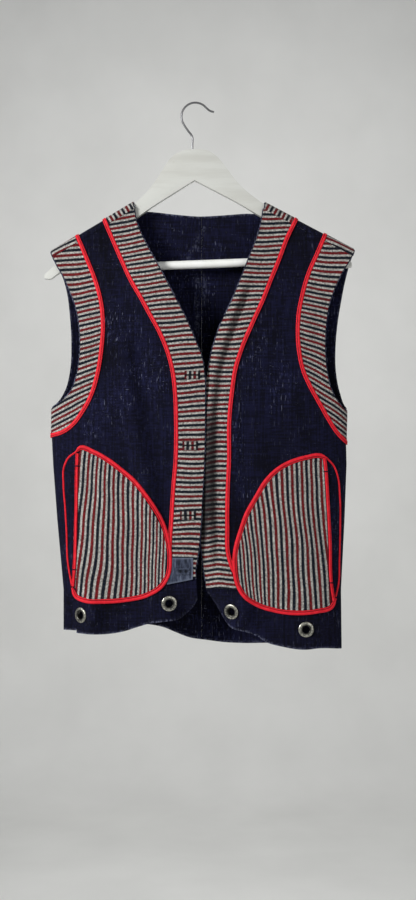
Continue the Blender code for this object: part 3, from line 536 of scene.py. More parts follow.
backNeck = (
    (-86, -120), (-86, -141), (-85, -150), (-78, -153.5), (-62, -154.5), (-28, -158), (9, -160.5),
    (45, -159), (75, -157), (92, -156.5), (99.5, -153), (101, -143), (101, -120),
)
backNeckLine = (
    (-131, -160), (-126, -176), (-105, -193), (-70, -204), (-28, -210), (9, -212), (45, -211),
    (85, -206), (120, -194), (144, -174), (150, -158),
)
backArmLine = {
    "right": (
        (-172, -182), (-167, -193), (-158, -222), (-150, -260), (-146, -305), (-146, -350), (-151, -390),
        (-161, -430), (-176, -457), (-192, -471), (-222, -478),
    ),
    "left": (
        (194, -178), (189, -189), (181, -217), (174, -260), (170, -305), (170, -350), (174, -392),
        (183, -432), (197, -463), (214, -483), (236, -502),
    ),
}
backSeam = 11.0
sided = {"right": "Right", "left": "Left"}
outer = {"right": -1, "left": 1}      # the way from the middle to the side


def smooth(rows, step=3.0):
    # A smooth line through the rows
    points = np.array(rows, float)
    chord = np.concatenate([[0], np.cumsum(np.linalg.norm(np.diff(points, axis=0), axis=1))])
    slope = np.gradient(points, chord, axis=0)
    at = np.linspace(0, chord[-1], max(2, int(round(chord[-1] / step)) + 1))
    span = np.clip(np.searchsorted(chord, at, side="right") - 1, 0, len(chord) - 2)
    length = (chord[span + 1] - chord[span])[:, None]
    t = ((at - chord[span]) / length[:, 0])[:, None]
    start, end = points[span], points[span + 1]
    return (
        (2 * t**3 - 3 * t**2 + 1) * start
        + (t**3 - 2 * t**2 + t) * length * slope[span]
        + (3 * t**2 - 2 * t**3) * end
        + (t**3 - t**2) * length * slope[span + 1]
    )


def unit(rows):
    return rows / np.linalg.norm(rows, axis=1)[:, None]


def beside(line, distance):
    way = unit(np.gradient(line, axis=0))
    return line + distance * np.stack([-way[:, 1], way[:, 0]], axis=1)


def strip(line, width, ends=0.0):
    way = line[1] - line[0], line[-1] - line[-2]
    first = line[0] - ends * way[0] / np.linalg.norm(way[0])
    last = line[-1] + ends * way[1] / np.linalg.norm(way[1])
    line = np.vstack([first, line, last]) if ends else line
    return np.vstack([beside(line, width / 2), beside(line, -width / 2)[::-1]])


def lengthsOf(line):
    return np.concatenate([[0], np.cumsum(np.linalg.norm(np.diff(line, axis=0), axis=1))])


def away(points, line):
    # The distance of each point from a line, seen from the front
    best = np.full(len(points), 1e9)
    for start, end in zip(line[:-1], line[1:]):
        step = end - start
        t = np.clip(((points - start) @ step) / max(step @ step, 1e-9), 0, 1)
        best = np.minimum(best, np.linalg.norm(points - start - t[:, None] * step, axis=1))
    return best


def ease(t):
    t = np.clip(t, 0.0, 1.0)
    return t * t * (3 - 2 * t)


def below(z, top, reach):
    # 0 above a height, and 1 from a reach below it
    return ease((top - z) / reach)


def above(z, foot, reach):
    return ease((z - foot) / reach)


def xOn(line, z):
    # x of a falling line at each height
    return np.interp(-z, -line[:, 1], line[:, 0])


def bodyAt(z):
    rows = np.array(worn["depths"], float)
    return [np.interp(-z, -rows[:, 0], rows[:, column]) for column in range(1, 5)]


def foldAt(z, side):
    # x where the cloth folds round the body's side
    return bodyAt(z)[2 if side == "right" else 3]


def rolled(x, z):
    turn = hangerForm["roll"]
    crown = hangerForm["crown"]
    return crown[0] + x * cos(turn) - z * sin(turn), crown[1] + x * sin(turn) + z * cos(turn)


def hangerTop(x):
    flip = 1 if x > hangerForm["crown"][0] else -1
    line = np.array([rolled(flip * px, pz) for px, pz in smooth(hangerForm["top"], 18)])
    order = np.argsort(line[:, 0])
    return float(np.interp(x, line[order, 0], line[order, 1]))


seats = {side: hangerTop(worn["shoulder"][side][0]) + worn["seatGap"] + worn["cloth"] for side in sided}


def shoulderZ(x, side):
    neck, tip = worn["shoulder"][side]
    return seats[side] + (tip[1] - seats[side]) / (tip[0] - neck) * (x - neck)


def folds(x, z, face):
    grown = below(z, worn["waveTop"], worn["waveTop"] - worn["waveFoot"])
    rise = 0.0
    for centre, half, height, where in worn["waves"]:
        if where == face:
            rise = rise + height * np.exp(-(((x - centre) / half) ** 2))
    return rise * grown


edgeLines = {side: smooth(neckEdge[side], 25) for side in neckEdge}


def settle(x, z, side):
    # The left front's edge rolls back, and both lower corners curl
    back = 0.0
    if side == "left":
        fromEdge = x - xOn(edgeLines[side], z)
        back = worn["rollBack"] * (1 - ease(fromEdge / worn["rollWidth"])) * below(z, *worn["rollTop"])
    corner = worn["corner"][side]
    far = np.hypot(x - corner[0], (z - corner[1]) * 1.1)
    return back + worn["cornerCurl"] * (1 - ease(far / worn["cornerReach"]))


# Soft troughs and ridges, each placed one by one
creases = {
    # x, z, lean from upright in degrees, length, half-width, height
    "frontRight": (
        (-150, -560, 6, 120, 9, -1.2), (-60, -440, -8, 120, 9, -1.2), (-112, -420, 10, 150, 12, 1.6),
        (-84, -300, -24, 90, 8, -0.9), (-14, -620, 4, 110, 7, 1.0), (-100, -733, 74, 70, 6, -1.4),
        (-150, -735, 20, 50, 8, 1.2), (-20, -470, 82, 26, 5, 0.8), (-172, -610, 3, 170, 5, -0.9),
        (-120, -260, -16, 90, 9, 1.0), (-4, -560, 76, 24, 6, 0.7), (-30, -712, -64, 50, 6, 1.2),
    ),
    "frontLeft": (
        (122, -430, 10, 150, 11, -1.5), (92, -500, -6, 130, 9, 1.2), (164, -470, -14, 110, 9, -1.1),
        (70, -600, 5, 130, 8, -0.9), (130, -300, 22, 110, 9, -0.9), (100, -738, 66, 70, 6, 1.5),
        (150, -370, -6, 90, 7, 1.0), (176, -640, 4, 190, 6, -0.9), (60, -735, -50, 50, 6, -1.5),
        (178, -330, 14, 90, 7, -1.2), (200, -740, 12, 60, 8, 1.2), (100, -225, 40, 60, 7, 0.7),
    ),
    "backRight": (
        (-120, -330, 10, 180, 13, 1.9), (-60, -450, -14, 170, 12, -1.7), (-90, -620, 5, 190, 13, 1.6),
        (-30, -260, 35, 110, 11, -1.2), (-140, -520, -18, 140, 11, 1.5), (-20, -560, 7, 160, 10, 1.0),
        (-165, -640, 8, 120, 9, -1.1),
    ),
    "backLeft": (
        (60, -300, -12, 170, 13, 1.7), (120, -420, 12, 190, 13, -1.8), (70, -600, -6, 180, 12, 1.6),
        (160, -560, 15, 140, 11, -1.5), (40, -240, -30, 110, 10, 1.2), (30, -480, -8, 150, 10, -1.2),
        (185, -680, -6, 110, 9, 1.1),
    ),
}
# Long bends: the cloth stands out on the near side of the line and sinks on the far side
bends = {
    "right": (
        {"out": 4.4, "half": 13.0, "line": (
            (-92, -330), (-84, -400), (-70, -480), (-57, -540), (-46, -610),
        )},
    ),
    "left": (
        {"out": 4.6, "half": 5.6, "line": (
            (80, -255), (62, -301), (46.6, -345), (34, -388), (27.5, -442), (26.5, -520), (26.5, -600),
            (29, -670),
        )},
        {"out": 1.4, "half": 8.0, "line": ((66, -430), (63, -520), (60, -600))},
    ),
}
bendEnds = {"top": 12, "topReach": 50, "foot": -12, "footReach": 40}      # where a bend fades out
foldDark = {
    # painted shade on the left band: in its long fold beside its bend, and painted shadow under the
    # right front's edge
    "aside": 1.0, "width": 6.5, "foot": (-655, 70), "low": (-410, 60), "least": 0.62,
    "underEdge": (16.5, 4), "underTop": (-395, 30), "underFoot": (-650, 40),
}
eyeletSpots = {
    # x, z, and how far the cloth under the eyelet turns to the viewer's left
    "right": ((-161.5, -735, 0.46), (-35, -717, -0.16)), "left": ((54, -729, 0.34), (160, -755, 0.06)),
    "flat": 13, "fade": 24,
}


def foldShade(x, z):
    # How much shade is painted on each place of the left band: in its long fold, and as the shadow of
    # the right front's edge
    form, least = foldDark, foldDark["least"]
    line = np.array(bends["left"][0]["line"], float)
    u = (x - xOn(line, z) - form["aside"]) / form["width"]
    low = below(z, *form["low"])
    fold = np.where(u < 0, np.maximum(np.exp(-u * u), low), np.exp(-u * u))
    fold = fold * (least + (1 - least) * low)
    fold = fold * below(z, line[0, 1] + bendEnds["top"], bendEnds["topReach"]) * above(z, *form["foot"])
    edge, reach = form["underEdge"]
    under = (1 - ease((x - edge) / reach)) * below(z, *form["underTop"]) * above(z, *form["underFoot"])
    return np.maximum(stripeForm["paintedFoldShade"] * fold, under)


def creased(x, z, side, face):
    rise = np.zeros_like(x)
    for cx, cz, lean, length, half, height in creases[face + sided[side]]:
        turn = radians(lean)
        along = (x - cx) * sin(turn) + (z - cz) * cos(turn)
        across = (x - cx) * cos(turn) - (z - cz) * sin(turn)
        across = across + 0.04 * length * np.sin(along / length * 2.4)      # a slight bow
        fade = 1 - ease(np.abs(along) / (length / 2))
        rise += height * fade * np.exp(-((across / half) ** 2))
    if face == "back":
        return rise
    for bend in bends[side]:
        line = np.array(bend["line"], float)
        u = (x - xOn(line, z)) / bend["half"]
        fade = below(z, line[0, 1] + bendEnds["top"], bendEnds["topReach"])
        fade = fade * above(z, line[-1, 1] + bendEnds["foot"], bendEnds["footReach"])
        rise -= bend["out"] * u * np.exp(0.5 - u * u / 2) * fade
    for cx, cz, turn in eyeletSpots[side]:
        fade = 1 - ease((np.hypot(x - cx, z - cz) - eyeletSpots["flat"]) / eyeletSpots["fade"])
        rise += turn * (x - cx) * fade
    return rise


def clothPoint(angle, run, side, face):
    # The base cloth's outer face: the angle goes round the body, the run down from the shoulder
    wrap = worn["wrap"]
    quarter = wrap * pi / 2
    x = np.full_like(angle, worn["middle"])
    hangs = run > quarter
    for _ in range(6):
        top = shoulderZ(x, side)
        z = np.where(hangs, top - wrap - (run - quarter), top - wrap * (1 - np.cos(run / wrap)))
        x = worn["middle"] + (foldAt(z, side) - worn["middle"]) * np.sin(angle)
    depth = bodyAt(z)[0 if face == "front" else 1]
    lean = ease((run - quarter) / worn["dropRounding"])
    out = wrap * np.sin(np.clip(run / wrap, -pi / 2, pi / 2))
    z = np.where(run < -quarter, top - wrap + (run + quarter), z)
    hung = wrap + (depth * np.cos(angle) - wrap) * lean
    hung = hung + folds(x, z, face) * np.maximum(np.cos(angle), 0.0) ** 0.5
    hung = hung + creased(x, z, side, face) * lean * below(angle, *worn["creaseSide"])
    if face == "front":
        hung = hung - settle(x, z, side)
    out = np.where(hangs, hung, out)
    return np.stack([x, -out if face == "front" else out, z], axis=-1)


def clothSheet(name, side, face, lift=None):
    # The base cloth's outer face as a fine grid, from the shoulder to below the hem
    form = sheetForm[face]
    columns, rows = form["cells"]
    share, crowd, (start, over) = form["share"], form["crowd"], form["grow"]
    first = -worn["seamForward"] if face == "back" else worn["seamForward"] + 2 * worn["gap"]
    inner = radians(sheetForm["inner"][face + sided[side]])
    u, v = np.meshgrid(np.linspace(0, 1, columns + 1), np.linspace(0, 1, rows + 1))
    reach = ease((v - start) / over)
    far = radians(sheetForm["side"]) + (radians(sheetForm["sideLow"]) + worn["sideOverlap"]) * reach
    angle = inner + (far - inner) * (u * (1 - crowd + crowd * u))
    x = worn["middle"] + (foldAt(sheetForm["level"], side) - worn["middle"]) * np.sin(angle)
    total = shoulderZ(x, side) - worn["wrap"] + worn["wrap"] * pi / 2 + sheetForm["length"]
    down = worn["wrapRows"] + (total - worn["wrapRows"]) * (v - share) / (1 - share)
    run = np.where(v < share, first + (worn["wrapRows"] - first) * v / share, down)
    points = clothPoint(angle, run, side, face).reshape(-1, 3)
    corner = np.arange(rows)[:, None] * (columns + 1) + np.arange(columns)[None, :]
    quads = np.stack([corner, corner + 1, corner + columns + 2, corner + columns + 1], axis=-1)
    quads = quads.reshape(-1, 4)
    if (side == "right") == (face == "front"):
        quads = quads[:, ::-1]
    mesh = bpy.data.meshes.new(name)
    mesh.from_pydata((points * mm).tolist(), [], quads.tolist())
    mesh.update()
    normals = np.zeros(len(points) * 3)
    mesh.vertex_normals.foreach_get("vector", normals)
    normals = normals.reshape(-1, 3)
    if (normals[:, 1].mean() > 0) == (face == "front"):
        mesh.flip_normals()
        normals = -normals
    if lift:
        points = points + normals * lift(points[:, 0], points[:, 2])[:, None]
        mesh.vertices.foreach_set("co", (points * mm).ravel())
    grid = bmesh.new()
    grid.from_mesh(mesh)
    bmesh.ops.triangulate(grid, faces=grid.faces[:])
    grid.to_mesh(mesh)
    grid.free()
    return mesh


through, throughFront = (-120, 120), (-120, 20)      # how far the cutters reach in y
frontHalf = (-120, -worn["seam"])
cutFar = {"armhole": 310, "armholeTop": -150, "back": 300, "backTop": -50, "foot": -900, "neckTop": -40}
quarterTurn = Matrix.Rotation(pi / 2, 3, "X")
tools = bpy.data.collections.new("cutters")
bpy.context.scene.collection.children.link(tools)


def prism(name, outline, yFrom, yTo):
    # A flat outline in x and z, extruded along y
    curve = bpy.data.curves.new(name + "Outline", "CURVE")
    curve.dimensions = "2D"
    curve.fill_mode = "BOTH"
    curve.extrude = (yTo - yFrom) / 2 * mm
    spline = curve.splines.new("POLY")
    spline.points.add(len(outline) - 1)
    for point, (x, z) in zip(spline.points, outline):
        point.co = (x * mm, z * mm, 0, 1)
    spline.use_cyclic_u = True
    guide = bpy.data.objects.new(name + "Guide", curve)
    bpy.context.scene.collection.objects.link(guide)
    bpy.context.view_layer.update()
    graph = bpy.context.evaluated_depsgraph_get()
    mesh = bpy.data.meshes.new_from_object(guide.evaluated_get(graph))
    bpy.data.objects.remove(guide)
    solid = bmesh.new()
    solid.from_mesh(mesh)
    bmesh.ops.remove_doubles(solid, verts=solid.verts[:], dist=1e-7)
    bmesh.ops.recalc_face_normals(solid, faces=solid.faces[:])
    bmesh.ops.rotate(solid, verts=solid.verts[:], cent=(0, 0, 0), matrix=quarterTurn)
    bmesh.ops.translate(solid, verts=solid.verts[:], vec=(0, (yFrom + yTo) / 2 * mm, 0))
    solid.to_mesh(mesh)
    solid.free()
    made = bpy.data.objects.new(name, mesh)
    tools.objects.link(made)
    made.hide_render = True
    return made


sheets = []      # each cloth piece, with what is sewn on it and, for a strip, its length


def finished(piece, finish, nodes=(), sharp=50, cloth=True):
    # Applies the modifiers, and gives the piece its finish, its body and the nodes that it stands for
    bpy.context.view_layer.update()
    graph = bpy.context.evaluated_depsgraph_get()
    mesh = bpy.data.meshes.new_from_object(piece.evaluated_get(graph))
    piece.modifiers.clear()
    piece.data = mesh
    mesh.materials.clear()
    mesh.materials.append(materials[finish])
    mesh.shade_smooth()
    mesh.set_sharp_from_angle(angle=radians(sharp))
    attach(piece, "root")
    if nodes:
        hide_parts(*nodes)
    if cloth:
        sheets.append([piece, [], None])
    return piece


def clothPiece(name, finish, mesh, out, thick, within=(), without=(), nodes=(), outward=True):
    piece = bpy.data.objects.new(name, mesh.copy())
    bpy.context.scene.collection.objects.link(piece)
    if out:
        raised = piece.modifiers.new("Out", "DISPLACE")
        raised.mid_level = 0.0
        raised.strength = out * mm
        raised.direction = "NORMAL"
    wall = piece.modifiers.new("Wall", "SOLIDIFY")
    wall.thickness = thick * mm
    wall.offset = 1.0 if outward else -1.0
    for cutters, operation in ((within, "INTERSECT"), (without, "DIFFERENCE")):
        for cutter in cutters:
            boolean = piece.modifiers.new(operation.title(), "BOOLEAN")
            boolean.operation = operation
            boolean.object = cutter
            boolean.solver = "MANIFOLD"
    return finished(piece, finish, nodes)


def panel(name, mesh, within, without=(), nodes=()):
    # A piece of the base cloth itself, its wall inwards
    return clothPiece(name, "indigo_cotton", mesh, 0, worn["cloth"], within, without, nodes, False)


def stripedBand(name, standsFor, mesh, outline, line, depth, ends=2.0, within=(), without=()):
    # A striped band that fills its outline up to the line of its piping
    region = prism(name + "Region", np.vstack([*outline, line[::-1]]), *depth)
    clear = prism(name + "Clear", strip(line, strips["piping"][0] + 2 * worn["gap"], ends), *depth)
    return clothPiece(
        name, "striped_cotton", mesh, worn["gap"], worn["band"], (region, *within), (clear, *without),
        (standsFor,),
    )


def meshPiece(name, points, faces, finish, nodes=(), cloth=True, sharp=50):
    mesh = bpy.data.meshes.new(name)
    mesh.from_pydata((points * mm).tolist(), [], faces)
    grid = bmesh.new()
    grid.from_mesh(mesh)
    bmesh.ops.recalc_face_normals(grid, faces=grid.faces[:])
    grid.to_mesh(mesh)
    grid.free()
    piece = bpy.data.objects.new(name, mesh)
    bpy.context.scene.collection.objects.link(piece)
    return finished(piece, finish, nodes, sharp, cloth)


def mark(piece, name, values):
    attribute = piece.data.attributes.new(name, "FLOAT", "POINT")
    attribute.data.foreach_set("value", np.asarray(values, np.float32))


def places(piece):
    co = np.zeros(len(piece.data.vertices) * 3)
    piece.data.vertices.foreach_get("co", co)
    return co.reshape(-1, 3) / mm


def wearOf(piece, lines, reach=3.0, fades=None):
    # Rubbed edges; they may fade towards one side of a place
    flat = places(piece)[:, [0, 2]]
    near = np.min([away(flat, line) for line in lines], axis=0)
    wear = np.clip(1 - near / reach, 0, 1)
    if fades:
        wear = wear * (0.2 + 0.8 * ease(fades[1] * (flat[:, 0] - fades[0]) / 14))
    mark(piece, "wear", wear)


frontCorners = {      # beyond the cloth
    "right": ((-260, -761), (-260, -100), (-90, -100)), "left": ((280, -787), (280, -100), (105, -100)),
}


def frontRegion(side):
    edge, foot = smooth(neckEdge[side]), smooth(hem[side])
    if side == "right":
        foot = foot[np.argsort(-foot[:, 0])][1:]
    else:
        edge = edge[:-1]
    return np.vstack([edge, foot, frontCorners[side]])


def beyond(seam, shift, z):
    # The region from a hem seam down, or up, to a height
    line = smooth(seam) + np.array([0, shift])
    return np.vstack([line, [(line[-1][0], z)], [(line[0][0], z)]])


def armholeCutter(name, rows, side):
    far, top = cutFar["armhole"] * outer[side], cutFar["armholeTop"]
    line = smooth(rows)
    corners = [(far, line[-1][1]), (far, top), (line[0][0], top)]
    return prism(name, np.vstack([line, corners]), *through)


# Places on the worn cloth

def angleOf(x, z, side):
    return np.arcsin(np.clip((x - worn["middle"]) / (foldAt(z, side) - worn["middle"]), -1, 1))


def dropOf(line, side):
    return shoulderZ(line[:, 0], side) - line[:, 1]


def outwards(angle, run, side, face):
    # The places on the base cloth's outer face, and the directions away from the body
    here = clothPoint(angle, run, side, face)
    turn, step = 0.004, 0.4
    wide = clothPoint(angle + turn, run, side, face) - clothPoint(angle - turn, run, side, face)
    deep = clothPoint(angle, run + step, side, face) - clothPoint(angle, run - step, side, face)
    normal = unit(np.cross(wide, deep))
    facing = normal[:, 1] * (-1 if face == "front" else 1) * np.where(run < 0, -1, 1)
    inward = np.where(np.abs(run) < worn["wrap"], normal[:, 2] < 0, facing < 0)
    return here, np.where(inward[:, None], -normal, normal)


def hanging(line, side, face, roundSide=False):
    # A path on the hanging part, through places seen from the front; it may end round the side
    wrap = worn["wrap"]
    angle = angleOf(line[:, 0], line[:, 1], side)
    run = wrap * pi / 2 + dropOf(line, side) - wrap
    if roundSide:
        extra = np.linspace(angle[-1], radians(89.5), 6)[1:]
        angle = np.concatenate([angle, extra])
        run = np.concatenate([run, run[-1] + 0.3 * np.arange(1, 6)])
    return outwards(angle, run, side, face)


def overShoulder(frontRows, backRows, side):
    # A path from the forward seam over the shoulder's ridge to the back
    wrap = worn["wrap"]
    found = []
    ridge = np.linspace(-worn["seamForward"] - worn["gap"], 0, 14)
    for rows, runs in ((frontRows, ridge), (backRows, np.linspace(1.2, 17, 12))):
        far = np.abs(runs)
        hangs = far > wrap * pi / 2
        need = np.where(hangs, wrap + far - wrap * pi / 2, wrap * (1 - np.cos(far / wrap)))
        drops = dropOf(rows, side)
        last = int(np.argmax(drops > 26))      # only the line's top, where it falls steadily
        x = np.interp(need, drops[:last], rows[:last, 0])
        found.append((angleOf(x, shoulderZ(x, side) - need, side), runs))
    angle, run = (np.concatenate(parts) for parts in zip(*found))
    return outwards(angle, run, side, "back")


def wholePath(frontRows, backRows, side, roundSide):
    # Up the front, over the shoulder and down the back
    drop = worn["wrap"] + worn["seamForward"] - worn["wrap"] * pi / 2 + 1.0
    onFront = frontRows[dropOf(frontRows, side) > drop]
    onBack = backRows[dropOf(backRows, side) > worn["wrap"] + 3.5]
    first = hanging(onFront, side, "front", roundSide)
    parts = [
        (first[0][::-1], first[1][::-1]), overShoulder(frontRows, backRows, side),
        hanging(onBack, side, "back", roundSide),
    ]
    here, normal = (np.concatenate(rows) for rows in zip(*parts))
    for values in (here, normal):
        values[1:-1] = (values[:-2] + 2 * values[1:-1] + values[2:]) / 4
    return here, unit(normal)


# Red strips: a folded bias strip with a sewn groove, lofted along its path

strips = {
    # width, height, base above the cloth, how much shade is painted into the groove, stitch pitch
    "piping": (5.8, 1.8, 0.3, 0.85, 3.1),
    "binding": (6.8, 2.7, 0.3, 0.9, 3.1),
    "mouth": (4.6, 2.0, 0.0, 0.35, 2.8),
    "outline": (2.6, 1.2, 0.3, 0.3, 0.0),
    "profile": (
        # share of the half-width, share of the height, share of the painted shade in the groove and at
        # the feet
        (-1.0, 0.1, 0.25), (-0.97, 0.58, 0.0), (-0.82, 0.86, 0.0), (-0.52, 1.0, 0.0), (-0.2, 1.0, 0.0),
        (0.1, 0.96, 0.0), (0.2, 0.86, 0.4), (0.3, 0.58, 1.0), (0.44, 0.58, 1.0), (0.54, 0.84, 0.4),
        (0.64, 0.94, 0.0), (0.84, 0.86, 0.0), (0.97, 0.54, 0.0), (1.0, 0.1, 0.25),
    ),
    "stitch": {"length": 2.0, "width": 0.55, "height": 0.3, "share": 0.37, "lift": 0.56},
}


def stitchRow(name, here, ahead, side, normal, lengths, pitch, width, out):
    # Small joined stitches, each a long eight-sided bead
    facts = strips["stitch"]
    at = np.arange(pitch, lengths[-1] - pitch, pitch)
    ways = [
        np.stack([np.interp(at, lengths, rows[:, k]) for k in range(3)], axis=1)
        for rows in (here, ahead, side, normal)
    ]
    centre = ways[0] + ways[2] * (facts["share"] * width / 2) + ways[3] * out
    reach = (facts["length"] / 2, facts["width"] / 2, facts["height"])
    corners = [centre + sign * way * size for way, size in zip(ways[1:], reach) for sign in (-1, 1)]
    points = np.stack(corners, axis=1).reshape(-1, 3)
    bead = [(a, b, c) for a in (0, 1) for b in (2, 3) for c in (4, 5)]
    faces = [tuple(6 * k + corner for corner in face) for k in range(len(at)) for face in bead]
    piece = meshPiece(name, points, faces, "red_bias", cloth=False, sharp=80)
    # The stitches take a share of the groove's painted shade
    mark(piece, "grooveShade", np.full(len(points), 0.45))
    return piece


def tubeFaces(rows, count):
    # The faces of a closed tube of rings
    starts = [(row * count, k, (k + 1) % count) for row in range(rows - 1) for k in range(count)]
    sides = [(at + k, at + after, at + count + after, at + count + k) for at, k, after in starts]
    return sides + [tuple(range(count)), tuple(reversed(range((rows - 1) * count, rows * count)))]


def biasStrip(name, path, kind, nodes, flip=1, taper=(0, 0)):
    width, height, base, grooveShade, pitch = strips[kind]
    here, normal = path
    ahead = unit(np.gradient(here, axis=0))
    side = unit(np.cross(ahead, normal) * flip)
    lengths = lengthsOf(here)
    # The strip swells and thins between its stitches
    pucker = 1 + 0.05 * np.sin(lengths / 2.1) + 0.04 * np.sin(lengths / 5.3 + 1)
    slim = np.ones(len(here))
    for reach, far in zip(taper, (lengths, lengths[-1] - lengths)):
        if reach:
            slim = slim * (0.42 + 0.58 * ease(far / reach))
    sideways = side * (slim * (1 + 0.02 * np.sin(lengths / 7.7)) * width / 2)[:, None]
    upwards = normal * (height * pucker * (0.4 + 0.6 * slim))[:, None]
    # depth holds each ring's painted groove shade
    rings, depth = [], []
    for share, lift, dip in strips["profile"]:
        rings.append(here + sideways * share + upwards * lift + normal * base)
        depth.append(np.full(len(here), dip * grooveShade))
    for share in (1.0, 0.0, -1.0):
        rings.append(here + sideways * share + normal * base)
        depth.append(np.zeros(len(here)))
    count = len(rings)
    faces = tubeFaces(len(here), count)
    piece = meshPiece(name, np.stack(rings, axis=1).reshape(-1, 3), faces, "red_bias", nodes)
    mark(piece, "grooveShade", np.stack(depth, axis=1).reshape(-1))
    sheets[-1][2] = lengths[-1] * mm
    if pitch:
        rise = base + height * strips["stitch"]["lift"]
        row = stitchRow(name + "Stitches", here, ahead, side, normal, lengths, pitch, width, rise)
        sheets[-1][1].append(row)
    return piece


# Stripes

stripeForm = {
    # height, how many mm a stripe rises for each mm to the right
    "neck": {
        "right": (
            (-150, 0.2), (-200, 0.17), (-260, 0.11), (-330, 0.04), (-380, 0.07), (-600, 0.03),
            (-640, -0.1), (-700, -0.12),
        ),
        "left": ((-150, -0.03), (-250, 0.02), (-330, 0.02), (-420, 0.0), (-560, -0.03), (-700, -0.07)),
    },
    "arm": {
        "right": ((-190, 0.05), (-240, 0.07), (-290, 0.2), (-340, 0.32), (-400, 0.4), (-440, 0.48)),
        "left": ((-190, -0.03), (-240, -0.06), (-290, -0.18), (-340, -0.38), (-400, -0.6), (-440, -0.7)),
    },
    "backArm": {
        "right": ((-180, 0.73), (-230, 0.6), (-300, 0.45), (-440, 0.5)),
        "left": ((-180, -0.73), (-230, -0.6), (-300, -0.45), (-440, -0.5)),
    },
    "middle": {
        "neck": {"right": -10, "left": 50}, "arm": {"right": -150, "left": 180},
        "backArm": {"right": -170, "left": 190},
    },
    "start": {
        "neck": {"right": 2.0, "left": 6.0}, "arm": {"right": 4.0, "left": 1.0},
        "backArm": {"right": 0.0, "left": 3.0},
    },
    "sink": 4.5, "sinkTop": (-400, 90),      # how deep the left band's stripes drop where it rolls back
    "paintedFoldShade": 0.92,     # how strongly shade is painted into that band's long fold
    "pocket": {
        "repeat": 14.4, "squeeze": 0.42, "squeezeReach": 50, "leanReach": 60, "across": (-240, 260, 501),
        "right": {"start": 3.5, "narrowFrom": -92, "middle": (-100, -610), "lean": (0.03, 0.08, 0.03)},
        "left": {"start": 9.0, "narrowFrom": 112, "middle": (132, -620), "lean": (0.05, 0.02, 0.08)},
    },
}


def levelStripes(piece, part, side):
    co = places(piece)
    x, z = co[:, 0], co[:, 2]
    rows = np.array(stripeForm[part][side], float)
    rise = np.interp(-z, -rows[:, 0], rows[:, 1])
    if part == "backArm":
        # Over the shoulder the stripes follow the length of the cloth
        wrap, top = worn["wrap"], shoulderZ(x, side)
        turned = wrap * np.arctan2(co[:, 1], np.maximum(wrap - top + z, 1e-6))
        straight = np.sign(co[:, 1]) * (wrap * pi / 2 + top - z - wrap)
        z = top - np.where(top - z < wrap, turned, straight)
    sway = 0.8 * np.sin(x / 15.0 + z / 44.0) + 0.35 * np.sin(x / 8.0 - z / 26.0)
    phase = z - rise * (x - stripeForm["middle"][part][side]) + sway + stripeForm["start"][part][side]
    if (part, side) == ("neck", "left"):
        line = edgeLines["left"]
        sunk = 1 - ease((x - xOn(line, z)) / worn["rollWidth"])
        phase = phase + stripeForm["sink"] * sunk * below(z, *stripeForm["sinkTop"])
        # Painted shade in the left band's long fold, and painted shadow under the right front's edge
        mark(piece, "shade", foldShade(x, z))
    mark(piece, "stripe", phase)


def uprightStripes(piece, side):
    # Pocket stripes lean, and stand closer towards the pocket's inner edge
    form = stripeForm["pocket"]
    own = form[side]
    co = places(piece)
    x, z = co[:, 0], co[:, 2]
    inwards = -outer[side]
    cx, cz = own["middle"]
    middle, mouthSide, innerSide = own["lean"]
    aside = inwards * (x - cx) / form["leanReach"]
    lean = middle + mouthSide * ease(-aside) + innerSide * ease(aside)
    sway = 1.0 * np.sin(z / 37 + x / 40) + 0.4 * np.sin(z / 13 + x / 17)
    level = x - inwards * lean * (z - cz) + sway
    steps = np.linspace(*form["across"])
    near = ease(inwards * (steps - own["narrowFrom"]) / form["squeezeReach"])
    squeeze = 1 + form["squeeze"] * near
    ratio = striped["repeat"] / form["repeat"] * squeeze
    mark(piece, "stripe", np.interp(level, steps, np.cumsum(ratio)) + own["start"])


# The fronts with all that is sewn on them

pocketForm = {
    "facing": 0.8, "cloth": 1.2, "lift": 1.4, "bulge": 2.4, "reach": (75, 112), "facingReach": 9,
    "tack": {"length": 7.5, "half": (0.8, 0.55), "rise": 0.2, "sink": 0.1, "lean": 0.02},
}
pocketEdge = {
    "right": (
        (-168, -502), (-162, -496.5), (-143, -502), (-123, -513), (-104, -527), (-85, -543), (-70, -561),
        (-55, -584), (-43, -607), (-36, -632), (-34, -655), (-37, -677), (-48, -694), (-66, -705),
        (-95, -712), (-125, -714.5), (-153, -714), (-167, -709), (-174, -696),
    ),
    "left": (
        (190, -511), (180, -507.5), (160, -510), (137, -517), (118, -528), (103, -543), (90, -564),
        (76, -589), (67, -613), (60, -638), (58, -665), (62, -689), (73, -708), (92, -720),
        (118, -728), (147, -731), (176, -729), (196, -724), (203, -712),
    ),
}
pocketMouth = {
    "right": ((-165, -492), (-166.5, -520), (-167.5, -590), (-170, -665), (-173, -700)),
    "left": ((184, -496), (187.5, -524), (191, -576), (194, -633), (195.5, -687), (200, -718)),
}
pocketSide = {
    "right": (
        (-168, -502), (-179, -510), (-185.5, -523), (-186.5, -548), (-184, -582), (-182, -619),
        (-180.5, -658), (-177, -680), (-174, -694),
    ),
    "left": (
        (190, -511), (200, -522), (206, -538), (209, -567), (209.5, -614), (208.5, -660), (207.5, -690),
        (203, -710),
    ),
}
barTacks = {"right": ((-165.8, -522), (-170.2, -670)), "left": ((187.4, -530), (195.6, -689))}
pipingFoot = {"right": -650.5, "left": -678}      # the neck piping ends under the pocket's binding
bandFoot = {
    # how far down the neck band follows its edge, and the corners of its foot
    "right": (-674, ((3, -681), (-50, -692))), "left": (-688, ((17.5, -695.5), (72, -698))),
}


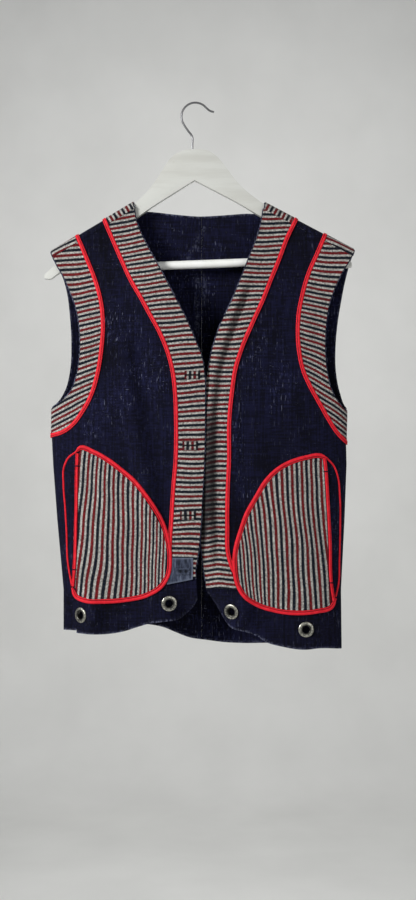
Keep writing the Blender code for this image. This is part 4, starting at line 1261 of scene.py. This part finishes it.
def pocketLift(side):
    centre = np.mean(smooth(pocketEdge[side]), axis=0)
    wide, high = pocketForm["reach"]

    def lift(x, z):
        far = np.hypot((x - centre[0]) / wide, (z - centre[1]) / high)
        return pocketForm["lift"] + pocketForm["bulge"] * (1 - ease(far))

    return lift


def makeFront(side):
    gap, end, out = worn["gap"], sided[side], outer[side]
    mesh = clothSheet("frontSheet" + end, side, "front")
    region = prism("frontRegion" + end, frontRegion(side), *frontHalf)
    hole = armholeCutter("armhole" + end, armhole[side], side)
    up = prism("aboveSeam" + end, beyond(hemSeam[side], worn["seam"], 0), *frontHalf)
    down = prism("belowSeam" + end, beyond(hemSeam[side], -worn["seam"], cutFar["foot"]), *frontHalf)
    front = panel("front" + end, mesh, (region, up), (hole,), ("front_" + side,))
    wearOf(front, (smooth(neckEdge[side], 8), smooth(armhole[side], 8)), 2.0)

    line = smooth(neckLine[side])
    line = line[line[:, 1] > pipingFoot[side]]
    edge = beside(smooth(neckEdge[side]), worn["navyEdge"] * out)
    lowest, foot = bandFoot[side]
    pocketLine = smooth(pocketEdge[side])
    bindingStrip = strip(pocketLine, strips["binding"][0] + 2 * gap, 0.4)
    bindingClear = prism("bindingClear" + end, bindingStrip, *frontHalf)
    inside = prism("pocketClosed" + end, pocketLine, *throughFront)
    piece = stripedBand(
        "neckBandFront" + end, "neck_band_front_" + side, mesh, (edge[edge[:, 1] > lowest], foot), line,
        throughFront, 0.2, without=(bindingClear, inside),
    )
    levelStripes(piece, "neck", side)
    backRows = smooth(backNeckLine)
    own = (backRows[:, 0] - backSeam) * out > 0
    backRows = backRows[own] if side == "right" else backRows[own][::-1]
    backRows = np.vstack([backRows, [(backSeam + 0.2 * out, backRows[-1][1])]])
    biasStrip(
        "neckPiping" + end, wholePath(line, backRows, side, False), "piping",
        ("neck_piping_front_" + side, "neck_piping_back_" + side), out, (9, 0),
    )

    armIn = beside(smooth(armhole[side]), -worn["navyEdge"] * out)
    line = smooth(armLine[side])
    piece = stripedBand(
        "armholeBandFront" + end, "armhole_band_front_" + side, mesh, (armIn,), line, frontHalf
    )
    levelStripes(piece, "arm", side)
    rows = []
    for whole in (line, smooth(backArmLine[side])):
        half = np.abs(foldAt(whole[:, 1], side) - worn["middle"]) - 0.8
        rows.append(whole[np.abs(whole[:, 0] - worn["middle"]) < half])
    biasStrip(
        "armholePiping" + end, wholePath(*rows, side, True), "piping",
        ("armhole_piping_front_" + side, "armhole_piping_back_" + side), -out,
    )
    makePocket(side, mesh, inside, bindingClear)
    makeFrontHem(side, mesh, region, down)
    return mesh


def lifted(path, amount):
    here, normal = path
    return here + normal * np.reshape(amount, (-1, 1)), normal


def barTack(name, here, normal):
    # A short thick bead of thread, eight-sided, sewn on the last cloth piece
    facts = pocketForm["tack"]
    high, deep = facts["half"]
    slim = np.sqrt(np.clip(1 - np.linspace(-0.98, 0.98, len(here)) ** 4, 0, 1))[:, None]
    upright = np.array([[0, 0, 1.0]])
    rings = [
        here + slim * (high * cos(a) * upright + (deep * sin(a) + facts["rise"]) * normal)
        for a in np.linspace(0, 2 * pi, 9)[:-1]
    ]
    points = np.stack(rings, axis=1).reshape(-1, 3)
    sheets[-1][1].append(meshPiece(name, points, tubeFaces(len(here), 8), "indigo_cotton", cloth=False))


def makePocket(side, mesh, inside, bindingClear):
    gap, end, out = worn["gap"], sided[side], outer[side]
    lift = pocketLift(side)
    puffed = clothSheet("pocketSheet" + end, side, "front", lift)
    mouth = smooth(pocketMouth[side])
    mouthWidth, mouthHeight = strips["mouth"][:2]
    mouthClear = prism("mouthClear" + end, strip(mouth, mouthWidth + 2 * gap, 2), *throughFront)
    far = cutFar["armhole"] * out
    corners = np.vstack([mouth, [(far, mouth[-1][1])], [(far, mouth[0][1])]])
    outside = prism("beyondMouth" + end, corners, *throughFront)
    piece = clothPiece(
        "pocket" + end, "striped_cotton", puffed, 0, pocketForm["cloth"], (inside,),
        (outside, bindingClear, mouthClear), ("pocket_" + side,),
    )
    uprightStripes(piece, side)
    edge = smooth(pocketEdge[side])
    path = hanging(edge, side, "front")
    biasStrip("pocketBinding" + end, path, "binding", ("pocket_binding_" + side,), -out, (9, 9))
    inner = mouth[(mouth[:, 1] < edge[0, 1] + 3) & (mouth[:, 1] > edge[-1, 1] - 5)]
    inner = inner[away(inner, edge) > 1.2]
    path = lifted(hanging(inner, side, "front"), lift(inner[:, 0], inner[:, 1]))
    biasStrip("pocketMouthBinding" + end, path, "mouth", ("pocket_mouth_binding_" + side,), -out)
    for number, (x, z) in enumerate(barTacks[side], 1):
        facts = pocketForm["tack"]
        tack = np.array([(x + k * facts["length"] / 8, z - facts["lean"] * k) for k in range(-4, 5)])
        rise = lift(tack[:, 0], tack[:, 1]) + mouthHeight - facts["sink"]
        barTack("barTack" + end + str(number), *lifted(hanging(tack, side, "front"), rise))

    sideLine = smooth(pocketSide[side])
    outlineWidth = strips["outline"][0]
    outlineClear = prism("outlineClear" + end, strip(sideLine, outlineWidth + 2 * gap, 2), *frontHalf)
    behind = beside(mouth, -pocketForm["facingReach"] * out)
    keep = (behind[:, 1] < sideLine[:, 1].max()) & (behind[:, 1] > sideLine[:, 1].min())
    facing = prism("facingRegion" + end, np.vstack([sideLine, behind[keep][::-1]]), *frontHalf)
    piece = clothPiece(
        "pocketFacing" + end, "indigo_cotton", mesh, gap, pocketForm["facing"], (facing,),
        (outlineClear, bindingClear), ("pocket_facing_" + side,),
    )
    mark(piece, "wear", np.zeros(len(piece.data.vertices)))
    path = hanging(sideLine, side, "front")
    biasStrip("pocketOutline" + end, path, "outline", ("pocket_outline_" + side,), out)


eyelets = {
    # shade: the radius inside which shade is painted, and over how many mm it grows
    "outer": 11.0, "barrel": 6.3, "steps": 72, "holeSides": 48, "shade": (8.2, 1.2),
    "profile": (
        # radius and height above the front cloth, from the hole over the rolled rim
        (5.5, -0.4), (5.55, 0.5), (5.9, 1.05), (6.6, 1.35), (7.6, 1.5), (8.8, 1.45), (9.9, 1.2),
        (10.6, 0.85), (11.0, 0.4), (11.0, 0.05), (10.7, 0.0),
    ),
    "foot": ((9.3, 0), (9.5, -0.35), (9.2, -0.75), (6.2, -0.8), (5.5, -0.5)),      # behind the cloth
}
# The right front's hem: the hole for the side that turns to the front, and that side itself
hemTurn = {"hole": (-168, -850), "side": (-168.3, -757.5), "top": -600, "far": -300}


def seatOn(mesh, x, z):
    grid = bmesh.new()
    grid.from_mesh(mesh)
    tree = BVHTree.FromBMesh(grid)
    grid.free()
    spots = [(x, z)]
    for reach in (eyelets["outer"] / 2, eyelets["outer"] + 0.5):
        spots += [(x + reach * cos(k * pi / 6), z + reach * sin(k * pi / 6)) for k in range(12)]
    points, normal = [], Vector()
    for px, pz in spots:
        point, direction, _, _ = tree.ray_cast(Vector((px, -200, pz)) * mm, Vector((0, 1, 0)))
        points.append(point / mm)
        normal += direction
    normal.normalize()
    if normal.y > 0:
        normal.negate()
    heights = [(point - points[0]).dot(normal) for point in points]
    return points[0], normal, max(heights), min(heights)


def lathe(name, profile, steps, spot, turn):
    mesh = bpy.data.meshes.new(name)
    ring = bmesh.new()
    verts = [ring.verts.new((r * mm, 0, z * mm)) for r, z in profile]
    for first, second in zip(verts, verts[1:] + verts[:1]):
        ring.edges.new((first, second))
    ring.to_mesh(mesh)
    ring.free()
    piece = bpy.data.objects.new(name, mesh)
    piece.location = Vector(spot) * mm
    piece.rotation_mode = "QUATERNION"
    piece.rotation_quaternion = turn
    screw = piece.modifiers.new("Turn", "SCREW")
    screw.steps = steps
    screw.render_steps = steps
    screw.use_merge_vertices = True
    screw.merge_threshold = 0.00001
    bpy.context.scene.collection.objects.link(piece)
    return piece


hemFades = {"right": (-22, -1), "left": (44, 1)}      # x where a frayed line begins, and its way


def blockPrism(name, near, top, foot, far, depth):
    return prism(name, [(near, top), (near, foot), (far, foot), (far, top)], *depth)


def makeFrontHem(side, mesh, region, down):
    end, gap, barrel = sided[side], worn["gap"], eyelets["barrel"]
    top, far = hemTurn["top"], hemTurn["far"]
    cutters = []
    if side == "right":
        x, foot = hemTurn["hole"]
        cutters.append(blockPrism("rightHemSide", x, top, foot, far, (-120, 40)))
    seated = []
    for number, (x, z, _) in enumerate(eyeletSpots[side], 1):
        centre, normal, high, low = seatOn(mesh, x, z)
        turns = np.linspace(0, 2 * pi, eyelets["holeSides"] + 1)[:-1]
        around = [((barrel + gap) * cos(a), (barrel + gap) * sin(a)) for a in turns]
        hole = prism("eyeletHole" + end + str(number), around, -15, 15)
        hole.rotation_mode = "QUATERNION"
        hole.rotation_quaternion = Vector((0, -1, 0)).rotation_difference(normal)
        hole.location = centre * mm
        cutters.append(hole)
        turn = Vector((0, 0, 1)).rotation_difference(normal)
        seated.append((centre, turn, high + gap, low - worn["cloth"] - gap))
    piece = panel("hemBandFront" + end, mesh, (region, down), cutters, ("hem_band_front_" + side,))
    wearOf(piece, (smooth(hem[side], 6),), 2.6, hemFades[side])
    if side == "right":
        x, foot = hemTurn["side"]
        turned = blockPrism("hemTurned", x, top, foot, far, frontHalf)
        piece = panel("hemSideRight", mesh, (turned, down))
        wearOf(piece, (np.array([(-190, foot), (-168, foot)], float),), 2.0)
    for number, (centre, turn, face, back) in enumerate(seated, 1):
        profile = [(r, face + z) for r, z in eyelets["profile"]] + [(barrel, face), (barrel, back)]
        profile += [(r, back + z) for r, z in eyelets["foot"]]
        ring = lathe("eyelet" + end + str(number), profile, eyelets["steps"], centre, turn)
        finished(ring, "nickel", ("eyelet_" + side + "_" + str(number),), 40, False)
        # Painted shade on each eyelet's inner slope, darkest at the hole
        dark, over = eyelets["shade"]
        mark(ring, "shade", np.clip((dark - np.hypot(*places(ring)[:, :2].T)) / over, 0, 1))


# The backs

backWear = {
    "right": (
        ((8, -166), (6, -200), (9, -232), (3, -262), (5, -300), (2, -345)),
        ((6, -196), (-3, -208), (-12, -226)),
    ),
    "left": (((14, -175), (17, -215), (15, -262), (18, -310)),),
}


def makeBack(side):
    end, out = sided[side], outer[side]
    mesh = clothSheet("backSheet" + end, side, "back")
    far, foot, neckTop = cutFar["back"], cutFar["foot"], cutFar["neckTop"]
    middle = backSeam + worn["seam"] * out
    half = blockPrism("backHalf" + end, middle, cutFar["backTop"], foot, far * out, through)
    up = prism("aboveBackSeam" + end, beyond(hemSeam["back"], worn["seam"], 0), *through)
    neckRegion = np.vstack([smooth(backNeck), [(backNeck[-1][0], neckTop), (backNeck[0][0], neckTop)]])
    neck = prism("backNeckCut" + end, neckRegion, *through)
    hole = armholeCutter("backArmhole" + end, backArmhole[side], side)
    seam = blockPrism("frontOfSide" + end, far, -240, foot, -far, (-120, worn["seam"]))
    piece = panel("back" + end, mesh, (half, up), (neck, hole, seam), ("back_" + side,))
    flat = places(piece)[:, [0, 2]]
    hemmed = np.min([away(flat, smooth(line, 8)) for line in (backNeck, backArmhole[side])], axis=0)
    rubbed = np.min([away(flat, smooth(line, 6)) for line in backWear[side]], axis=0)
    normals = np.zeros(len(flat) * 3)
    piece.data.vertex_normals.foreach_get("vector", normals)
    inner = np.where(normals.reshape(-1, 3)[:, 1] < -0.3, 0.5, 0.0) * np.clip(1 - rubbed / 1.7, 0, 1)
    mark(piece, "wear", np.maximum(np.clip(1 - hemmed / 2.2, 0, 1), inner))

    arm = smooth(backArmLine[side])
    armIn = beside(smooth(backArmhole[side]), -worn["navyEdge"] * out)
    piece = stripedBand(
        "armholeBandBack" + end, "armhole_band_back_" + side, mesh, (armIn,), arm, through,
        without=(seam,),
    )
    levelStripes(piece, "backArm", side)

    neckIn = beside(smooth(backNeck), -worn["navyEdge"])
    piece = stripedBand(
        "neckBandBack" + end, "neck_band_back_" + side, mesh, (neckIn,), smooth(backNeckLine), through,
        within=(half,),
    )
    co = places(piece)
    slant = ease(np.abs(co[:, 0] - backSeam) / 90)
    mark(piece, "stripe", 0.9 * co[:, 0] - 0.5 * out * slant * (co[:, 2] + 160) + 3)

    outline = np.vstack([smooth(hem["back"]), [(260, -600)], [(-260, -600)]])
    region = prism("backHemRegion" + end, outline, *through)
    down = prism("belowBackSeam" + end, beyond(hemSeam["back"], -worn["seam"], foot), *through)
    piece = panel("hemBandBack" + end, mesh, (half, region, down), (seam,), ("hem_band_back_" + side,))
    wearOf(piece, (smooth(hem["back"], 6),), 2.4)


# The patch and the bound buttonholes

patch = {"outline": ((-38, -652), (-1, -652), (-1.5, -682.5), (-38, -690)), "thick": 0.9}
buttonholes = {
    "onBand": ((-2, -393), (-5, -493), (-8, -592)), "onPatch": (-15, -671),
    "length": 19.5, "height": 9.8, "rim": 1.3, "slit": 2.1, "lip": 1.3, "lipEnd": 1.2, "cell": 0.5,
    "sheet": 0.15, "blotch": (3.8, 1.8, 3.0),      # the painted shade blotches' x, half-width and half-height
}


def makeButtonhole(number, x, z, base, finish):
    facts = buttonholes
    halfWide, halfHigh = facts["length"] / 2 + facts["rim"], facts["height"] / 2 + facts["rim"]
    u = np.linspace(-halfWide, halfWide, int(2 * halfWide / facts["cell"]) + 1)
    v = np.linspace(-halfHigh, halfHigh, int(2 * halfHigh / facts["cell"]) + 1)
    across, up = (grid.ravel() for grid in np.meshgrid(u, v))
    here, normal = hanging(np.stack([x + across, z + up], axis=1), "right", "front")
    lipMiddle = (facts["slit"] + facts["height"]) / 4
    lipHalf = (facts["height"] - facts["slit"]) / 4
    lip = np.sqrt(np.clip(1 - ((np.abs(up) - lipMiddle) / lipHalf) ** 2, 0, 1))
    lip = lip * ease((facts["length"] / 2 - np.abs(across)) / facts["lipEnd"])
    top = here + normal * (base + facts["sheet"] + facts["lip"] * lip)[:, None]
    foot = here + normal * base
    count, wide = len(top), len(u)
    cells = [row * wide + k for row in range(len(v) - 1) for k in range(wide - 1)]
    faces = [(k, k + 1, k + 1 + wide, k + wide) for k in cells]
    faces += [(count + k, count + k + wide, count + k + 1 + wide, count + k + 1) for k in cells]
    rim = list(range(wide)) + [r * wide + wide - 1 for r in range(1, len(v))]
    rim += [(len(v) - 1) * wide + k for k in range(wide - 2, -1, -1)]
    rim += [r * wide for r in range(len(v) - 2, 0, -1)]
    faces += [(a, b, count + b, count + a) for a, b in zip(rim, rim[1:] + rim[:1])]
    nodes = ("buttonhole_" + str(number),)
    piece = meshPiece("buttonhole" + str(number), np.vstack([top, foot]), faces, finish, nodes)
    # Painted shade: full in the slit, and half as strong round the rim, where it also stands for the
    # navy facing
    shade = np.where(np.abs(up) < facts["slit"] / 2 + 0.5, 1.0, 0.5) * np.clip(1 - 1.5 * lip, 0, 1)
    if finish == "pale_denim":
        # The slit on the patch shows as two dark blotches of painted shade
        middle, wide, high = facts["blotch"]
        blotches = np.exp(-(((np.abs(across) - middle) / wide) ** 2) - (up / high) ** 4)
        shade = np.minimum(1, 0.25 * shade + 1.1 * blotches)
    mark(piece, "stripe", np.tile(across - striped["repeat"] / 4, 2))
    mark(piece, "shade", np.concatenate([shade, shade]))


def makePatchAndButtonholes(mesh):
    gap = worn["gap"]
    onBand = gap + worn["band"] + gap
    region = prism("patchRegion", patch["outline"], *throughFront)
    cutters = [bpy.data.objects[name] for name in ("bindingClearRight", "neckBandFrontRightClear")]
    piece = clothPiece(
        "denimPatch", "pale_denim", mesh, onBand, patch["thick"], (region,), cutters, ("denim_patch",)
    )
    corners = np.array(patch["outline"], float)
    wearOf(piece, (corners[[0, 1]], corners[[1, 2]], corners[[2, 3]]), 2.2)
    for number, spot in enumerate(buttonholes["onBand"], 1):
        makeButtonhole(number, *spot, onBand, "striped_cotton")
    makeButtonhole(4, *buttonholes["onPatch"], onBand + patch["thick"] + gap, "pale_denim")


# The hanger

def makeHanger():
    form = hangerForm
    half = np.vstack([smooth(form["top"]), smooth(form["foot"])])
    whole = np.vstack([half, (half[::-1] * np.array([-1, 1]))[1:-1]])
    thick = form["thick"]
    body = prism("woodenHanger", [rolled(x, z) for x, z in whole], -thick / 2, thick / 2)
    tools.objects.unlink(body)
    bpy.context.scene.collection.objects.link(body)
    body.hide_render = False
    rounding = body.modifiers.new("Rounding", "BEVEL")
    rounding.width = form["rounding"] * mm
    rounding.segments = 5
    rounding.limit_method = "ANGLE"
    rounding.angle_limit = radians(60)
    finished(body, "white_wood", ("hanger",), 40, False)

    radius, reach, edge = form["barRadius"], form["barHalf"], form["barEdge"]
    ring = [(0.01, -reach), (radius - edge, -reach), (radius, -reach + edge)]
    ring += [(radius, reach - edge), (radius - edge, reach), (0.01, reach)]
    x, z = rolled(0, -form["barDrop"])
    turn = Vector((0, 0, 1)).rotation_difference(Vector((cos(form["roll"]), 0, sin(form["roll"]))))
    # The bar takes the lighter white: painted light over the same paint as the body
    finished(lathe("trouserBar", ring, 48, (x, 0, z), turn), "white_wood_painted_light", ("hanger_bar",), 40, False)

    centre, reach, crown = form["hookCentre"], form["hookRadius"], form["crown"][1]
    arc = np.radians(np.linspace(*form["hookTurn"], 16))
    route = [(px, crown + pz) for px, pz in form["shank"]] + list(form["neck"])
    route += [(centre[0] + reach * cos(a), centre[1] + reach * sin(a)) for a in arc] + list(form["tip"])
    curve = bpy.data.curves.new("wireHook", "CURVE")
    curve.dimensions = "3D"
    curve.bevel_depth = form["wire"] * mm
    curve.bevel_resolution = 6
    curve.use_fill_caps = True
    spline = curve.splines.new("POLY")
    points = smooth(route, 0.8)
    spline.points.add(len(points) - 1)
    for point, (px, pz) in zip(spline.points, points):
        point.co = (px * mm, 0, pz * mm, 1)
    guide = bpy.data.objects.new("wireHookGuide", curve)
    bpy.context.scene.collection.objects.link(guide)
    bpy.context.view_layer.update()
    mesh = bpy.data.meshes.new_from_object(guide.evaluated_get(bpy.context.evaluated_depsgraph_get()))
    bpy.data.objects.remove(guide)
    hook = bpy.data.objects.new("wireHook", mesh)
    bpy.context.scene.collection.objects.link(hook)
    finished(hook, "steel", ("hanger_hook",), 60, False)


# The least width of a strip and of a piece, in metres, and how full the box of a straight piece is
cutForm = {"strip": 0.01, "piece": 0.012, "filled": 0.5, "slant": 0.9}


def declareCloth():
    # The flat cut of what shows of each piece
    for piece, sewn, length in sheets:
        co = places(piece)
        size = co.max(0) - co.min(0)
        area = sum(face.area for face in piece.data.polygons) / 2
        if length:
            width = max(cutForm["strip"], area / length)
        else:
            least = cutForm["piece"]
            width = max(least, size[0] * mm)
            length = max(least, size[2] * mm, area / width)
            if area < cutForm["filled"] * width * length:
                width = max(least, area / (cutForm["slant"] * length))


frontMesh = makeFront("right")
makeFront("left")
print("fronts are sewn")
for backSide in sided:
    makeBack(backSide)
print("backs are sewn")
makePatchAndButtonholes(frontMesh)
makeHanger()
declareCloth()
for tool in list(tools.objects):
    bpy.data.objects.remove(tool)
print("hanger is made")
